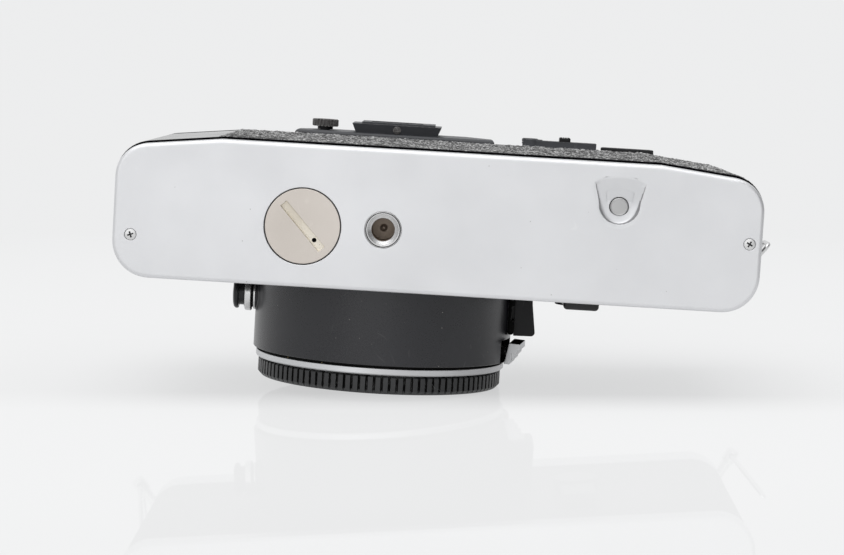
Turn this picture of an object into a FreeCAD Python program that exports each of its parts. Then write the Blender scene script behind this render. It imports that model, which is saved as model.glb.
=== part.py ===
"""Single-lens reflex camera body without its lens, lying face down on a ribbed body cap.

Millimetres.  The origin is the centre of the cap's rest face, on the optical axis.  +Z runs from the
cap to the camera's back, +Y from the bottom plate to the hot shoe, and +X to the side of the film
advance lever.  Every sub-part is one node, and is written to parts/NODE.step.
"""
import FreeCAD
import Part
import math
import os

V = FreeCAD.Vector
X, Y, Z = V(1, 0, 0), V(0, 1, 0), V(0, 0, 1)

# ---------------------------------------------------------------- driving dimensions: body
body_half = 72.9            # half the length of the body
body_centre_x = 12.2        # the body's middle, measured from the optical axis
front_z = 25.0              # front face of the body above the cap's rest face
back_z = 57.1               # back face
flat_half = 49.5            # half length of the flat part of the back
slant_drop = 2.65           # how far the back falls from there to the ends
front_corner = 8.4
back_corner = 7.5
base_y = -43.0              # outer face of the bottom plate
shoulder_y = 35.0           # top of the top cover beside the hump
casting_top = 24.0
skin_seam = 0.1             # gap between two skins that meet edge to edge
skin_inset = 1.1            # casting surface under the covers
run = 0.05                  # radial clearance of a running fit
far = 200.0                 # longer than the camera

# ---------------------------------------------------------------- bottom plate and its fittings
plate_wall = 0.9
plate_skirt = 5.0
plate_edge = 0.9
socket_z = 39.0
socket_bore = 2.6
socket_collar = 4.15
socket_body = 6.0
socket_depth = 7.6
socket_mouth = 0.8
battery_x = -18.1
battery_z = 38.75
cover_r = 8.5
cover_gap = 0.25
cover_thick = 1.8
cover_boss_r = 7.5
cover_boss_depth = 1.6
slot_length = 13.4
slot_width = 2.0
slot_depth = 0.8
slot_angle = -47.5
cell_r = 5.8
cell_height = 5.4
release_x = 52.56
release_z = 47.3
release_r = 1.65
release_hole = 2.2
release_travel = 1.2
scoop_r = 4.7
scoop_depth = 1.4
scoop_mouth_z = 53.9
pad_depth = 1.9
screw_head = 1.375
plate_screws = [(-56.6, 34.6), (82.2, 40.7)]

# ---------------------------------------------------------------- lens mount and cap
cap_step = 0.7              # how much smaller the cap is than the flange
cap_height = 4.3
cap_ribs = 94
cap_rib_depth = 0.5
cap_rib_share = 0.7
cap_floor = 1.6
cap_boss_gap = 2.4          # radial room of the boss in the throat
claw_reach = 1.8
claw_thick = 1.1
claw_angle = 46.0
flange_low = 4.5
flange_high = 6.2
flange_step = 0.85          # how much smaller the flange is than the surround
flange_width = 5.35
seam_height = 0.4
surround_r = 30.8
surround_wall = 1.4
mount_screw_edge = 2.65
mount_screw_count = 5
box_front_z = 12.5

# ---------------------------------------------------------------- optics, mirror and shutter
film_z = 51.5
screen_edge = 7.8           # from the screen to the surround's inner wall, over the axis
screen_thick = 1.5
screen_side = 5.5
mirror_side = 6.5
mirror_low = -14.5
mirror_high = 18.5
mirror_glass = 1.6
mirror_plate = 0.9
mirror_pin_r = 0.7
mirror_pin_past = 0.9       # the hinge lies this far beyond the glass's edge
mirror_pin_deep = 1.5       # and this far behind its face
box_side = 6.4              # from the box to the surround's inner wall, beside the axis
box_wall = 2.0
box_below = 12.4
prism_side = 2.5
prism_low_z = 16.0
prism_high_z = 44.8
prism_top_y = 45.0
gate_half_x = 18.2
gate_half_y = 12.2
shutter_front_z = 46.2
shutter_back_z = 49.9
shutter_half_x = 25.0
shutter_half_y = 27.2
blade_tall = 13.0
blade_thick = 0.2
blade_lap = 0.8
blade_half_x = 19.6

# ---------------------------------------------------------------- film path
cassette_x = -44.6
chamber_z = 42.6
chamber_r = 13.2
chamber_low_y = -25.5
chamber_high_y = 22.5
spool_x = 54.2
spool_r = 6.5
sprocket_x = 33.5
sprocket_r = 6.0
sprocket_tooth = 1.2
sprocket_teeth = 8
sprocket_row_y = 14.1
rail_low_z = 51.2
rail_half_x = 29.5

# ---------------------------------------------------------------- back door
door_proud = 0.45
door_wall = 1.4
door_low_y = -37.6
door_high_y = 23.7
door_edge_z = 48.3
knuckle_r = 1.6
hinge_pin_r = 0.7
hinge_swing_r = 2.7
leather_thick = 0.4
door_leather_x = -38.5

# ---------------------------------------------------------------- top cover and its controls
cover_wall = 0.9
cover_low_y = 24.1
hump_half_low = 25.0
hump_half_high = 14.5
hump_y = 50.6
hump_front_z = 13.5
hump_slope_z = 25.0
hump_slope_y = 41.0
shaft_lift = 10.0
sleeve_r = 3.4
rewind_shaft_r = 2.4
ring_r = 12.5
ring_high_y = 38.4
knob_r = 8.8
knob_high_y = 42.4
dial_x = 35.2
dial_z = 42.0
dial_r = 8.8
dial_high_y = 40.0
button_x = 48.0
button_z = 31.5
button_r = 2.9
button_travel = 1.6
hub_r = 7.5
hub_high_y = 38.4
lever_shaft_r = 3.0
counter_x = 70.5
counter_z = 44.5
counter_r = 7.5
window_z = 39.9
window_r = 2.8

# ---------------------------------------------------------------- fittings at the back
panel_half = 25.0
panel_low_y = 24.7
panel_high_y = 43.5
panel_proud = 1.3
eye_x = 0.4
eye_y = 33.6
eye_half_x = 6.5
eye_half_y = 4.3
frame_half_x = 10.25
frame_half_y = 7.6
frame_flare = 0.95
frame_high_z = 60.7
blind_x = -17.9
blind_knob_r = 3.3
blind_travel = 10.0
switch_x = 37.0
switch_end_x = 50.6
switch_y = 29.0
switch_proud = 1.9
slider_x = 42.7

# ---------------------------------------------------------------- fittings at the front
timer_x = 46.4
timer_hub_y = -8.0
timer_tip_y = -27.0
timer_half = 4.1
timer_front_z = 22.0
unlock_y = -2.0
unlock_z = 19.3
unlock_reach = 5.2
unlock_flange_r = 4.0
unlock_neck_r = 3.1
unlock_collar_r = 4.4
rail_proud = 0.6
preview_thick = 5.0
preview_low_z = 13.0
stop_angle = -18.0
stop_proud = 3.8
stop_low_z = 6.9
lug_y = 31.0
lug_r = 1.15
ring_wire = 0.55
ring_reach = 13.0


# ---------------------------------------------------------------- building blocks
def box(x0, x1, y0, y1, z0, z1):
    """Block between two corners."""
    return Part.makeBox(x1 - x0, y1 - y0, z1 - z0, V(x0, y0, z0))


def rod_x(y, z, radius, x0, x1):
    """Round rod along X."""
    return Part.makeCylinder(radius, x1 - x0, V(x0, y, z), X)


def rod_y(x, z, radius, y0, y1):
    """Round rod along Y."""
    return Part.makeCylinder(radius, y1 - y0, V(x, y0, z), Y)


def rod_z(x, y, radius, z0, z1):
    """Round rod along Z."""
    return Part.makeCylinder(radius, z1 - z0, V(x, y, z0), Z)


def prism_x(points, x0, x1):
    """Polygon of (y, z) points drawn out along X."""
    face = Part.Face(Part.makePolygon([V(x0, y, z) for y, z in points + points[:1]]))
    return face.extrude(X * (x1 - x0))


def prism_y(points, y0, y1):
    """Polygon of (x, z) points drawn out along Y."""
    face = Part.Face(Part.makePolygon([V(x, y0, z) for x, z in points + points[:1]]))
    return face.extrude(Y * (y1 - y0))


def prism_z(points, z0, z1):
    """Polygon of (x, y) points drawn out along Z."""
    face = Part.Face(Part.makePolygon([V(x, y, z0) for x, y in points + points[:1]]))
    return face.extrude(Z * (z1 - z0))


def turned_y(x, z, profile):
    """Solid of revolution about a line along Y; the profile is a list of (radius, y)."""
    face = Part.Face(Part.makePolygon([V(x + r, y, z) for r, y in profile + profile[:1]]))
    return face.revolve(V(x, 0, z), Y, 360)


def turned_x(y, z, profile):
    """Solid of revolution about a line along X; the profile is a list of (radius, x)."""
    face = Part.Face(Part.makePolygon([V(x, y + r, z) for r, x in profile + profile[:1]]))
    return face.revolve(V(0, y, z), X, 360)


def along(edge, direction):
    """True for a straight edge parallel to a direction."""
    if not isinstance(edge.Curve, (Part.Line, Part.LineSegment)):
        return False
    first, last = edge.Vertexes[0].Point, edge.Vertexes[-1].Point
    return (last - first).normalize().cross(direction).Length < 1e-6


def round_edges(solid, radius, chosen):
    """Fillet the edges for which chosen(edge) is true."""
    return solid.makeFillet(radius, [edge for edge in solid.Edges if chosen(edge)])


def turned_about(shape, x, y, z, axis, angle):
    """Copy of a shape turned about a line."""
    copy = shape.copy()
    copy.rotate(V(x, y, z), axis, angle)
    return copy


def spun(shape, count, x, y, z, axis):
    """List of copies of a shape, evenly spaced about a line."""
    return [turned_about(shape, x, y, z, axis, 360.0 / count * step) for step in range(count)]


def toothed_y(x, z, outer, root, count, share, y0, y1):
    """Disc along Y whose edge carries straight ribs; share is the rib's part of the pitch."""
    points = []
    pitch = 2 * math.pi / count
    for tooth in range(count):
        middle = tooth * pitch
        half = pitch * share / 2
        for radius, angle in ((outer, middle - half), (outer, middle + half),
                              (root, middle + half), (root, middle + pitch - half)):
            points.append((x + radius * math.cos(angle), z + radius * math.sin(angle)))
    return prism_y(points, y0, y1)


def body_block(grow, y0, y1):
    """Solid with the body's outline moved outwards by grow, from y0 to y1."""
    slant = math.atan2(slant_drop, body_half - flat_half)
    half = body_half + grow
    front, back = front_z - grow, back_z + grow
    flat = flat_half + grow * math.tan(slant / 2)
    end = back - (half - flat) * math.tan(slant)
    plan = [(-half, front), (half, front), (half, end), (flat, back), (-flat, back), (-half, end)]
    block = prism_y([(body_centre_x + x, z) for x, z in plan], y0, y1)
    block = round_edges(block, front_corner + grow,
                        lambda e: along(e, Y) and abs(e.Vertexes[0].Z - front) < 1e-6)
    return round_edges(block, back_corner + grow,
                       lambda e: along(e, Y) and abs(e.Vertexes[0].Z - end) < 1e-6)


def cross_recess(x, y, z, axis, size, depth):
    """Cross cut into a screw head whose face is at a point; the cut goes in along the axis."""
    arm = box(-size, size, -size / 5, size / 5, 0, depth)
    cross = arm.fuse(turned_about(arm, 0, 0, 0, Z, 90))
    cross.Placement = FreeCAD.Placement(V(x, y, z), FreeCAD.Rotation(Z, axis))
    return cross


# ---------------------------------------------------------------- places worked out from the sizes
body_left = body_centre_x - body_half
body_right = body_centre_x + body_half
casting_low = base_y + plate_wall
skirt_top = base_y + plate_skirt
core_inset = skin_inset + 0.4                          # casting surface under the back door
core_z = back_z - core_inset
hinge_x = body_right + door_proud - knuckle_r
hinge_z = door_edge_z + 0.2
door_inner_z = back_z + door_proud - door_wall
casting_front = front_z + skin_inset
leather_front = front_z + 0.2
surround_low = flange_high + seam_height
surround_inner = surround_r - surround_wall
flange_r = surround_r - flange_step
throat_r = flange_r - flange_width
cap_r = flange_r - cap_step
cap_boss_r = throat_r - cap_boss_gap
mount_screw_circle = flange_r - mount_screw_edge
box_half = surround_inner - box_side
box_low_y = box_below - surround_inner
screen_y = surround_inner - screen_edge
screen_half = box_half - screen_side
mirror_half = box_half - mirror_side
prism_half = screen_half - prism_side
unlock_end_x = -surround_r - unlock_reach
rail_x = surround_r + rail_proud
preview_end_x = rail_x + preview_thick
stop_reach = surround_r + stop_proud
mirror_centre_z = film_z - screen_y
sprocket_z = film_z - sprocket_r
cover_inner_y = shoulder_y - cover_wall
boss_top = cover_inner_y
sleeve_top = boss_top - 1.1
top_gap = 0.15                                         # under a dial that turns on the top cover
fixed_knuckles = [(door_low_y + 1.1, door_low_y + 6.1), (door_high_y - 6.2, door_high_y - 1.2)]
door_knuckle = (fixed_knuckles[0][1] + 0.3, fixed_knuckles[1][0] - 0.3)
mirror_pin_s = mirror_high + mirror_pin_past
mirror_hinge_y = (mirror_pin_s - mirror_pin_deep) * math.sqrt(0.5)
mirror_hinge_z = mirror_centre_z + (mirror_pin_s + mirror_pin_deep) * math.sqrt(0.5)
cells_end = base_y + cover_thick + cover_boss_depth + 0.1 + 2 * cell_height
panel_z = back_z + panel_proud
crank_x = cassette_x - 6.5
crank_y = knob_high_y + 1.0


# ---------------------------------------------------------------- casting
def body_casting():
    """Die-cast frame with the film chambers, the film gate, its rails and the shaft bosses."""
    casting = body_block(-skin_inset, casting_low, casting_top)
    rim = box(-far, far, skirt_top, casting_top, door_edge_z - 0.3, far)
    casting = casting.cut(rim.cut(body_block(-core_inset, skirt_top - 1, casting_top + 1)))
    cuts = [box(-box_half, box_half, box_low_y, far, 0, shutter_front_z)]
    cuts.append(box(-shutter_half_x, shutter_half_x, -shutter_half_y, far,
                    shutter_front_z, shutter_back_z))
    cuts.append(box(-gate_half_x, gate_half_x, -gate_half_y, gate_half_y, 0, far))
    cuts.append(box(-rail_half_x - 1.5, spool_x, -20.6, 20.6, rail_low_z, far))
    for x in (cassette_x, spool_x):
        cuts.append(rod_y(x, chamber_z, chamber_r, chamber_low_y, chamber_high_y))
        cuts.append(box(x - chamber_r, x + chamber_r, chamber_low_y, chamber_high_y, chamber_z, far))
    pocket_r = sprocket_r + sprocket_tooth + 0.5
    cuts.append(rod_y(sprocket_x, sprocket_z, pocket_r, -18.8, 18.8))
    cuts.append(box(sprocket_x - pocket_r, sprocket_x + pocket_r, -18.8, 18.8, sprocket_z, far))
    cuts.append(rod_y(sprocket_x, sprocket_z, 2.0 + run, -22.2, 22.2))
    # pockets that lighten the casting, open to the bottom plate or the top cover
    cuts.append(box(-54, -30, casting_low, -28.5, 30, 52))
    cuts.append(box(9, 27, casting_low, -29.5, 30, 45.8))
    cuts.append(box(30, 79, casting_low, -28.6, 30, 52))
    cuts.append(box(74, 80.5, -26, casting_top, 29.5, 46))
    # bottom fittings
    cuts.append(rod_y(0, socket_z, socket_body, casting_low, base_y + socket_depth + 1.4))
    cuts.append(rod_y(battery_x, battery_z, cover_r + cover_gap, casting_low,
                      base_y + cover_thick + 0.1))
    cuts.append(rod_y(battery_x, battery_z, cover_boss_r + run, casting_low,
                      base_y + cover_thick + cover_boss_depth + 0.1))
    cuts.append(rod_y(battery_x, battery_z, cell_r + 0.15, casting_low,
                      cells_end))
    cuts.append(box(release_x - 8.6, release_x + 8.6, casting_low, base_y + pad_depth + 0.6,
                    release_z - 6.8, scoop_mouth_z + 1.4))
    for x, z in plate_screws:
        cuts.append(rod_y(x, z, 0.8, casting_low, casting_low + 5))
    cuts.append(rod_z(timer_x, timer_hub_y, 2.0 + run, 0, casting_front + 4.3))
    # the hinge: room for the door's knuckle to turn
    cuts.append(rod_y(hinge_x, hinge_z, hinge_swing_r, skirt_top, casting_top))
    casting = casting.cut(Part.makeCompound(cuts))
    adds = []
    for low, high in fixed_knuckles:
        adds.append(rod_y(hinge_x, hinge_z, knuckle_r, low, high))
        adds.append(box(hinge_x - hinge_swing_r - 0.6, hinge_x, low, high, hinge_z - 1.1, hinge_z + 1.1))
    # polished rails: two inner ones that carry the film and two outer ones that guide it
    for side in (-1, 1):
        for y0, y1, high in ((12.9, 16.2, film_z), (17.8, 19.8, film_z + 0.25)):
            low_y, high_y = sorted((side * y0, side * y1))
            adds.append(box(-rail_half_x, 24.9, low_y, high_y, rail_low_z - 0.2, high))
    # bosses that carry the shafts of the controls, up to just under the top cover
    for x, z, radius in ((cassette_x, chamber_z, 5.2), (spool_x, chamber_z, 5.0),
                         (dial_x, dial_z, 4.0), (button_x, button_z, 3.0)):
        adds.append(rod_y(x, z, radius, casting_top - 0.5, boss_top))
    adds.append(rod_y(counter_x, counter_z, 2.6, casting_top - 0.5, shoulder_y - 2.9))
    adds.append(rod_y(release_x, release_z, 4.0, base_y + pad_depth + 0.6, -28))
    casting = casting.fuse(adds).removeSplitter()
    bores = [rod_y(hinge_x, hinge_z, hinge_pin_r, skirt_top, casting_top)]
    bores.append(rod_y(cassette_x, chamber_z, sleeve_r + run, chamber_high_y - 1, far))
    bores.append(rod_y(spool_x, chamber_z, 2.5 + run, chamber_low_y - 2.6, casting_top + 0.2))
    bores.append(rod_y(spool_x, chamber_z, lever_shaft_r + run, casting_top + 0.6, far))
    bores.append(rod_y(dial_x, dial_z, 2.0 + run, casting_top + 1, far))
    bores.append(rod_y(button_x, button_z, 1.4 + run, casting_top + 2, far))
    bores.append(rod_y(counter_x, counter_z, 1.0 + run, casting_top + 1, far))
    bores.append(rod_y(release_x, release_z, release_r + run, casting_low, -32.5))
    return casting.cut(Part.makeCompound(bores))


# ---------------------------------------------------------------- bottom plate
def scoop():
    """U-shaped thumb scoop round the rewind release button, its floor rising to the back edge."""
    low = release_z - 0.3
    outline = [(release_x - scoop_r * 1.22, scoop_mouth_z - 1.4), (release_x - scoop_r, low + 1.5)]
    for step in range(1, 12):
        turn = math.pi + math.pi * step / 12
        outline.append((release_x + scoop_r * math.cos(turn), low + 1.0 + scoop_r * math.sin(turn)))
    outline += [(release_x + scoop_r, low + 1.5), (release_x + scoop_r * 1.22, scoop_mouth_z - 1.4),
                (release_x + 3.4, scoop_mouth_z), (release_x - 3.4, scoop_mouth_z)]
    column = prism_y(outline, base_y - 1, base_y + scoop_depth + 1)
    wedge = prism_x([(base_y - 1, 0), (base_y + scoop_depth, 0), (base_y + scoop_depth, low + 1.6),
                     (base_y + 0.1, scoop_mouth_z), (base_y - 1, scoop_mouth_z)], 0, far)
    return column.common(wedge)


def bottom_plate():
    """Pressed plate with a skirt all round, holes for its fittings and the thumb scoop."""
    plate = body_block(0, base_y, skirt_top)
    plate = round_edges(plate, plate_edge, lambda e: abs(e.BoundBox.YMax - base_y) < 1e-6)
    plate = plate.cut(body_block(-plate_wall, casting_low, skirt_top + 1))
    pad = box(release_x - 8.2, release_x + 8.2, casting_low - 0.1, base_y + pad_depth,
              release_z - 6.4, scoop_mouth_z + 1.0)
    plate = plate.fuse(pad)
    cuts = [scoop()]
    cuts.append(rod_y(release_x, release_z, release_hole, base_y - 1, 0))
    cuts.append(rod_y(battery_x, battery_z, cover_r + cover_gap, base_y - 1, 0))
    cuts.append(rod_y(0, socket_z, socket_collar + run, base_y - 1, 0))
    for x, z in plate_screws:
        cuts.append(rod_y(x, z, screw_head, base_y - 1, 0))
    return plate.cut(Part.makeCompound(cuts))


def tripod_socket():
    """Threaded insert, bored to the thread's minor diameter."""
    floor = base_y + socket_depth
    profile = [(0, floor + 1.4), (socket_body, floor + 1.4), (socket_body, casting_low),
               (socket_collar, casting_low), (socket_collar, base_y - 0.05),
               (socket_bore + socket_mouth, base_y - 0.05), (socket_bore, base_y + socket_mouth),
               (socket_bore, floor), (0.9, floor), (0, floor + 0.5)]
    return turned_y(0, socket_z, profile)


def battery_cover():
    """Cover that turns in with a coin."""
    face = turned_y(battery_x, battery_z, [
        (0, base_y), (cover_r - 0.2, base_y), (cover_r, base_y + 0.2), (cover_r, base_y + cover_thick),
        (cover_boss_r, base_y + cover_thick), (cover_boss_r, base_y + cover_thick + cover_boss_depth),
        (0, base_y + cover_thick + cover_boss_depth)])
    half = slot_length / 2 - slot_width / 2
    slot = box(battery_x - half, battery_x + half, base_y - 1, base_y + slot_depth,
               battery_z - slot_width / 2, battery_z + slot_width / 2)
    ends = [rod_y(battery_x + side * half, battery_z, slot_width / 2, base_y - 1, base_y + slot_depth)
            for side in (-1, 1)]
    vent = rod_y(battery_x + half * 0.72, battery_z, 0.5, base_y - 1, base_y + slot_depth + 0.8)
    slot = slot.fuse(ends + [vent])
    return face.cut(turned_about(slot, battery_x, 0, battery_z, Y, -slot_angle))


def button_cells():
    """Two button cells in line."""
    cells = []
    for start in (cells_end - 2 * cell_height, cells_end - cell_height):
        cells.append(turned_y(battery_x, battery_z, [
            (0, start), (cell_r - 1.0, start), (cell_r - 0.8, start + 0.4), (cell_r, start + 0.6),
            (cell_r, start + cell_height), (0, start + cell_height)]))
    return Part.makeCompound(cells)


def rewind_release_button():
    """Small button that frees the sprocket for rewinding."""
    face = base_y + 0.8
    return turned_y(release_x, release_z, [(0, face), (release_r - 0.2, face), (release_r, face + 0.2),
                                           (release_r, -34.0), (0, -34.0)])


def cross_head_screws():
    """Screws of the bottom plate and of the mount flange."""
    screws = []
    for x, z in plate_screws:
        screw = turned_y(x, z, [(0, base_y - 0.1), (screw_head - 0.25, base_y - 0.1),
                                (screw_head, base_y + 0.1), (screw_head, casting_low),
                                (0.8, casting_low), (0.8, casting_low + 4.8), (0, casting_low + 4.8)])
        screws.append(screw.cut(cross_recess(x, base_y - 0.1, z, Y, 0.95, 0.6)))
    for step in range(mount_screw_count):
        turn = math.radians(90 + 360.0 / mount_screw_count * step)
        x, y = mount_screw_circle * math.cos(turn), mount_screw_circle * math.sin(turn)
        head = rod_z(x, y, 1.5, flange_low, flange_low + 0.9)
        shank = rod_z(x, y, 0.9, flange_low + 0.9, surround_low + 1.1)
        screws.append(head.fuse(shank).cut(cross_recess(x, y, flange_low, Z, 0.95, 0.6)))
    return Part.makeCompound(screws)


# ---------------------------------------------------------------- lens mount
def claws(inner, outer, low, high):
    """Three bayonet claws; they start at the angle where the first one begins."""
    ring = rod_z(0, 0, outer, low, high).cut(rod_z(0, 0, inner, low, high))
    half = math.radians(claw_angle / 2)
    reach = far * math.tan(half)
    sector = prism_z([(0, 0), (far, -reach), (far, reach)], low, high)
    return ring.common(sector)


def mount_flange():
    """Bright bayonet flange with three inner claws."""
    ring = rod_z(0, 0, flange_r, flange_low, flange_high)
    ring = ring.fuse(rod_z(0, 0, flange_r - 0.7, flange_high - 0.1, surround_low))
    ring = ring.cut(rod_z(0, 0, throat_r, 0, far))
    inner = cap_boss_r + 0.2
    claw = claws(inner, throat_r + 0.5, flange_high - claw_thick, flange_high)
    ring = ring.fuse(spun(claw, 3, 0, 0, 0, Z))
    holes = []
    for step in range(mount_screw_count):
        turn = math.radians(90 + 360.0 / mount_screw_count * step)
        x, y = mount_screw_circle * math.cos(turn), mount_screw_circle * math.sin(turn)
        holes.append(rod_z(x, y, 1.5, 0, flange_low + 0.9))
        holes.append(rod_z(x, y, 0.9, 0, far))
    return ring.cut(Part.makeCompound(holes)).removeSplitter()


def lens_mount_surround():
    """Black cylinder that stands in front of the body and carries the mount."""
    tube = rod_z(0, 0, surround_r, surround_low, casting_front)
    tube = tube.cut(rod_z(0, 0, surround_inner, surround_low + 1.2, far))
    tube = tube.cut(rod_z(0, 0, throat_r + 0.6, 0, far))
    notch = surround_r - 10.3
    cuts = [box(-notch, notch, screen_y, far, hump_front_z + 1.1, far)]
    # slot that the stop-down lever reaches through
    slot = prism_z([(0, 0), (far * math.cos(math.radians(-32)), far * math.sin(math.radians(-32))),
                    (far * math.cos(math.radians(-8)), far * math.sin(math.radians(-8)))], 8.4, 10.9)
    cuts.append(slot.common(rod_z(0, 0, surround_r + 1, 8.4, 10.9).cut(
        rod_z(0, 0, surround_inner - 1, 8.4, 10.9))))
    cuts.append(rod_x(unlock_y, unlock_z, unlock_flange_r - 0.1, -surround_r - 1, -surround_inner + 2))
    for step in range(mount_screw_count):
        turn = math.radians(90 + 360.0 / mount_screw_count * step)
        cuts.append(rod_z(mount_screw_circle * math.cos(turn), mount_screw_circle * math.sin(turn),
                          0.9, 0, surround_low + 1.2))
    tube = tube.cut(Part.makeCompound(cuts))
    # rail for the preview slider
    rail = box(surround_inner - 1.0, rail_x, -11, 9, preview_low_z + 0.5, leather_front - 0.4)
    rail = rail.cut(rod_z(0, 0, surround_inner, 0, far))
    groove = box(rail_x - 0.8, rail_x, -12, 10, 16.9, 20.1)
    return tube.fuse(rail).cut(groove).removeSplitter()


def index_dot():
    """Painted mounting index set in the flange's rim."""
    dot = rod_x(0, flange_high - 0.85, 0.6, flange_r - 0.5, flange_r + 0.25)
    dot = dot.cut(rod_z(0, 0, flange_r, 0, far))
    return turned_about(dot, 0, 0, 0, Z, stop_angle)


def body_cap():
    """Ribbed cap with a bayonet boss."""
    rim = toothed_y(0, 0, cap_r, cap_r - cap_rib_depth, cap_ribs, cap_rib_share, 0, cap_height)
    rim = turned_about(rim, 0, 0, 0, X, 90)
    bevel = Part.Face(Part.makePolygon([V(0, 0, 0), V(cap_r - 0.75, 0, 0), V(cap_r, 0, 0.8),
                                        V(cap_r, 0, cap_height - 0.1), V(cap_r - 0.1, 0, cap_height),
                                        V(0, 0, cap_height), V(0, 0, 0)]))
    rim = rim.common(bevel.revolve(V(0, 0, 0), Z, 360))
    rim = rim.cut(rod_z(0, 0, cap_r - 2.6, cap_floor, far))
    boss = rod_z(0, 0, cap_boss_r, cap_floor - 0.2, 7.4).cut(rod_z(0, 0, cap_boss_r - 1.7, 0, far))
    claw = claws(cap_boss_r - 0.4, cap_boss_r + claw_reach, flange_high + 0.15, flange_high + claw_thick)
    return rim.fuse([boss] + spun(claw, 3, 0, 0, 0, Z)).removeSplitter()


def lens_release_button():
    """Black push button at the left of the mount, pressed towards the lens axis."""
    neck_end = unlock_end_x + 1.4
    profile = [(0, unlock_end_x), (unlock_flange_r - 0.9, unlock_end_x),
               (unlock_flange_r - 0.2, unlock_end_x + 0.35), (unlock_flange_r, unlock_end_x + 0.7),
               (unlock_flange_r - 0.1, neck_end), (unlock_neck_r, neck_end),
               (unlock_neck_r, -surround_inner + 0.6), (0, -surround_inner + 0.6)]
    return turned_x(unlock_y, unlock_z, profile)


def lens_release_collar():
    """Bright stepped collar that guides the lens release button."""
    start = unlock_end_x + 2.8
    bore = unlock_neck_r + run
    profile = [(bore, start), (unlock_collar_r - 0.6, start), (unlock_collar_r, start + 0.5),
               (unlock_collar_r, start + 1.5), (unlock_flange_r - 0.2, start + 1.75),
               (unlock_flange_r - 0.1, start + 2.0), (unlock_flange_r - 0.1, -surround_inner + 0.5),
               (bore, -surround_inner + 0.5)]
    return turned_x(unlock_y, unlock_z, profile)


def stop_down_lever():
    """Bright stepped tab on a ring that turns inside the surround."""
    low, high = 8.6, 10.6
    ring = rod_z(0, 0, surround_inner - 0.08, low, high).cut(rod_z(0, 0, throat_r + 1.0, 0, far))
    top = 11.5
    steps = [(surround_r + 0.3, top), (stop_reach - 0.4, top), (stop_reach, top - 0.4),
             (stop_reach, top - 1.5), (stop_reach - 0.85, top - 1.5), (stop_reach - 0.85, top - 3.0),
             (stop_reach - 1.7, top - 3.0), (stop_reach - 1.7, stop_low_z),
             (surround_r + 0.3, stop_low_z)]
    tab = prism_y(steps, 0, 4.0)
    neck = box(surround_inner - 1.5, surround_r + 0.6, 0.4, 3.6, low, high)
    return ring.fuse(turned_about(tab.fuse(neck), 0, 0, 0, Z, stop_angle)).removeSplitter()


def preview_slider():
    """Black block that slides along the camera's height at the right of the mount."""
    high = leather_front - 0.6
    plan = [(rail_x + 0.4, high), (preview_end_x - 0.6, high), (preview_end_x - 0.4, high - 4),
            (preview_end_x + 0.5, preview_low_z + 0.8), (preview_end_x, preview_low_z + 0.1),
            (rail_x + 0.4, preview_low_z)]
    block = prism_y(plan, -6, 6)
    block = round_edges(block, 0.8, lambda e: along(e, Y) and e.Vertexes[0].X > rail_x + 2)
    tongue = box(rail_x - 0.7, rail_x + 0.6, -5.5, 5.5, 17.0, 20.0)
    return block.fuse(tongue).removeSplitter()


# ---------------------------------------------------------------- optics
def mirror_box():
    """Black box between mount and shutter, with the seat of the focusing screen as its roof."""
    seat = screen_y - 1.2
    outer = box(-box_half, box_half, box_low_y, screen_y, box_front_z, shutter_front_z - 0.25)
    inner = box(-box_half + box_wall, box_half - box_wall, box_low_y + box_wall, seat, 0, far)
    light = box(-screen_half, screen_half, seat - 1, far, 15.5, 42.5)
    bearing = rod_x(mirror_hinge_y, mirror_hinge_z, mirror_pin_r + run, -far, far)
    shell = outer.cut(inner.fuse(light)).cut(bearing)
    nose = rod_z(0, 0, surround_inner - 0.1, 0, casting_front)
    return shell.common(nose.fuse(box(-far, far, -far, far, casting_front, far)))


def focusing_screen():
    """Ground glass on its seat."""
    return box(-screen_half - 0.7, screen_half + 0.7, screen_y, screen_y + screen_thick, 14.8, 43.2)


def pentaprism():
    """Five-sided roof prism over the screen."""
    low = screen_y + screen_thick
    section = [(low, prism_low_z), (low, prism_high_z), (38.5, prism_high_z), (prism_top_y, 38.0),
               (41.0, 20.0), (33.0, prism_low_z)]
    glass = prism_x(section, -prism_half, prism_half)
    for side in (-1, 1):
        roof = prism_z([(side * prism_half * 1.01, 31), (side * 2.0, prism_top_y + 1),
                        (side * prism_half * 1.01, prism_top_y + 1)], 0, far)
        glass = glass.cut(roof)
    return glass


def mirror_slab(front, back, low, high, half):
    """Slab parallel to the mirror; front and back are distances behind the reflecting face."""
    slab = box(-half, half, low, high, front, back)
    slab.Placement = FreeCAD.Placement(V(0, 0, mirror_centre_z), FreeCAD.Rotation(X, 45))
    return slab


def reflex_mirror():
    """Mirror glass at 45 degrees to the optical axis."""
    return mirror_slab(0, mirror_glass, mirror_low, mirror_high, mirror_half)


def mirror_holder():
    """Steel plate behind the mirror, with its hinge barrel."""
    plate = mirror_slab(mirror_glass, mirror_glass + mirror_plate, mirror_low - 0.3,
                        mirror_pin_s, mirror_half - 1.5)
    reach = box_half - 0.4
    barrel = rod_x(mirror_hinge_y, mirror_hinge_z, mirror_pin_r, -reach, reach)
    return plate.fuse(barrel).removeSplitter()


def eyepiece_lens():
    """Ocular behind the prism."""
    return box(eye_x - eye_half_x, eye_x + eye_half_x, eye_y - eye_half_y, eye_y + eye_half_y,
               50.8, 53.0)


# ---------------------------------------------------------------- shutter
def shutter_frame():
    """Metal frame with a front and a back plate; the blades run between them."""
    outer = box(-shutter_half_x, shutter_half_x, -shutter_half_y, shutter_half_y,
                shutter_front_z, shutter_back_z)
    room = box(-blade_half_x - 0.2, blade_half_x + 0.2, -shutter_half_y + 1.0, shutter_half_y - 1.0,
               shutter_front_z + 0.9, shutter_back_z - 0.9)
    window = box(-gate_half_x, gate_half_x, -gate_half_y, gate_half_y, 0, far)
    return outer.cut(room.fuse(window))


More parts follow.
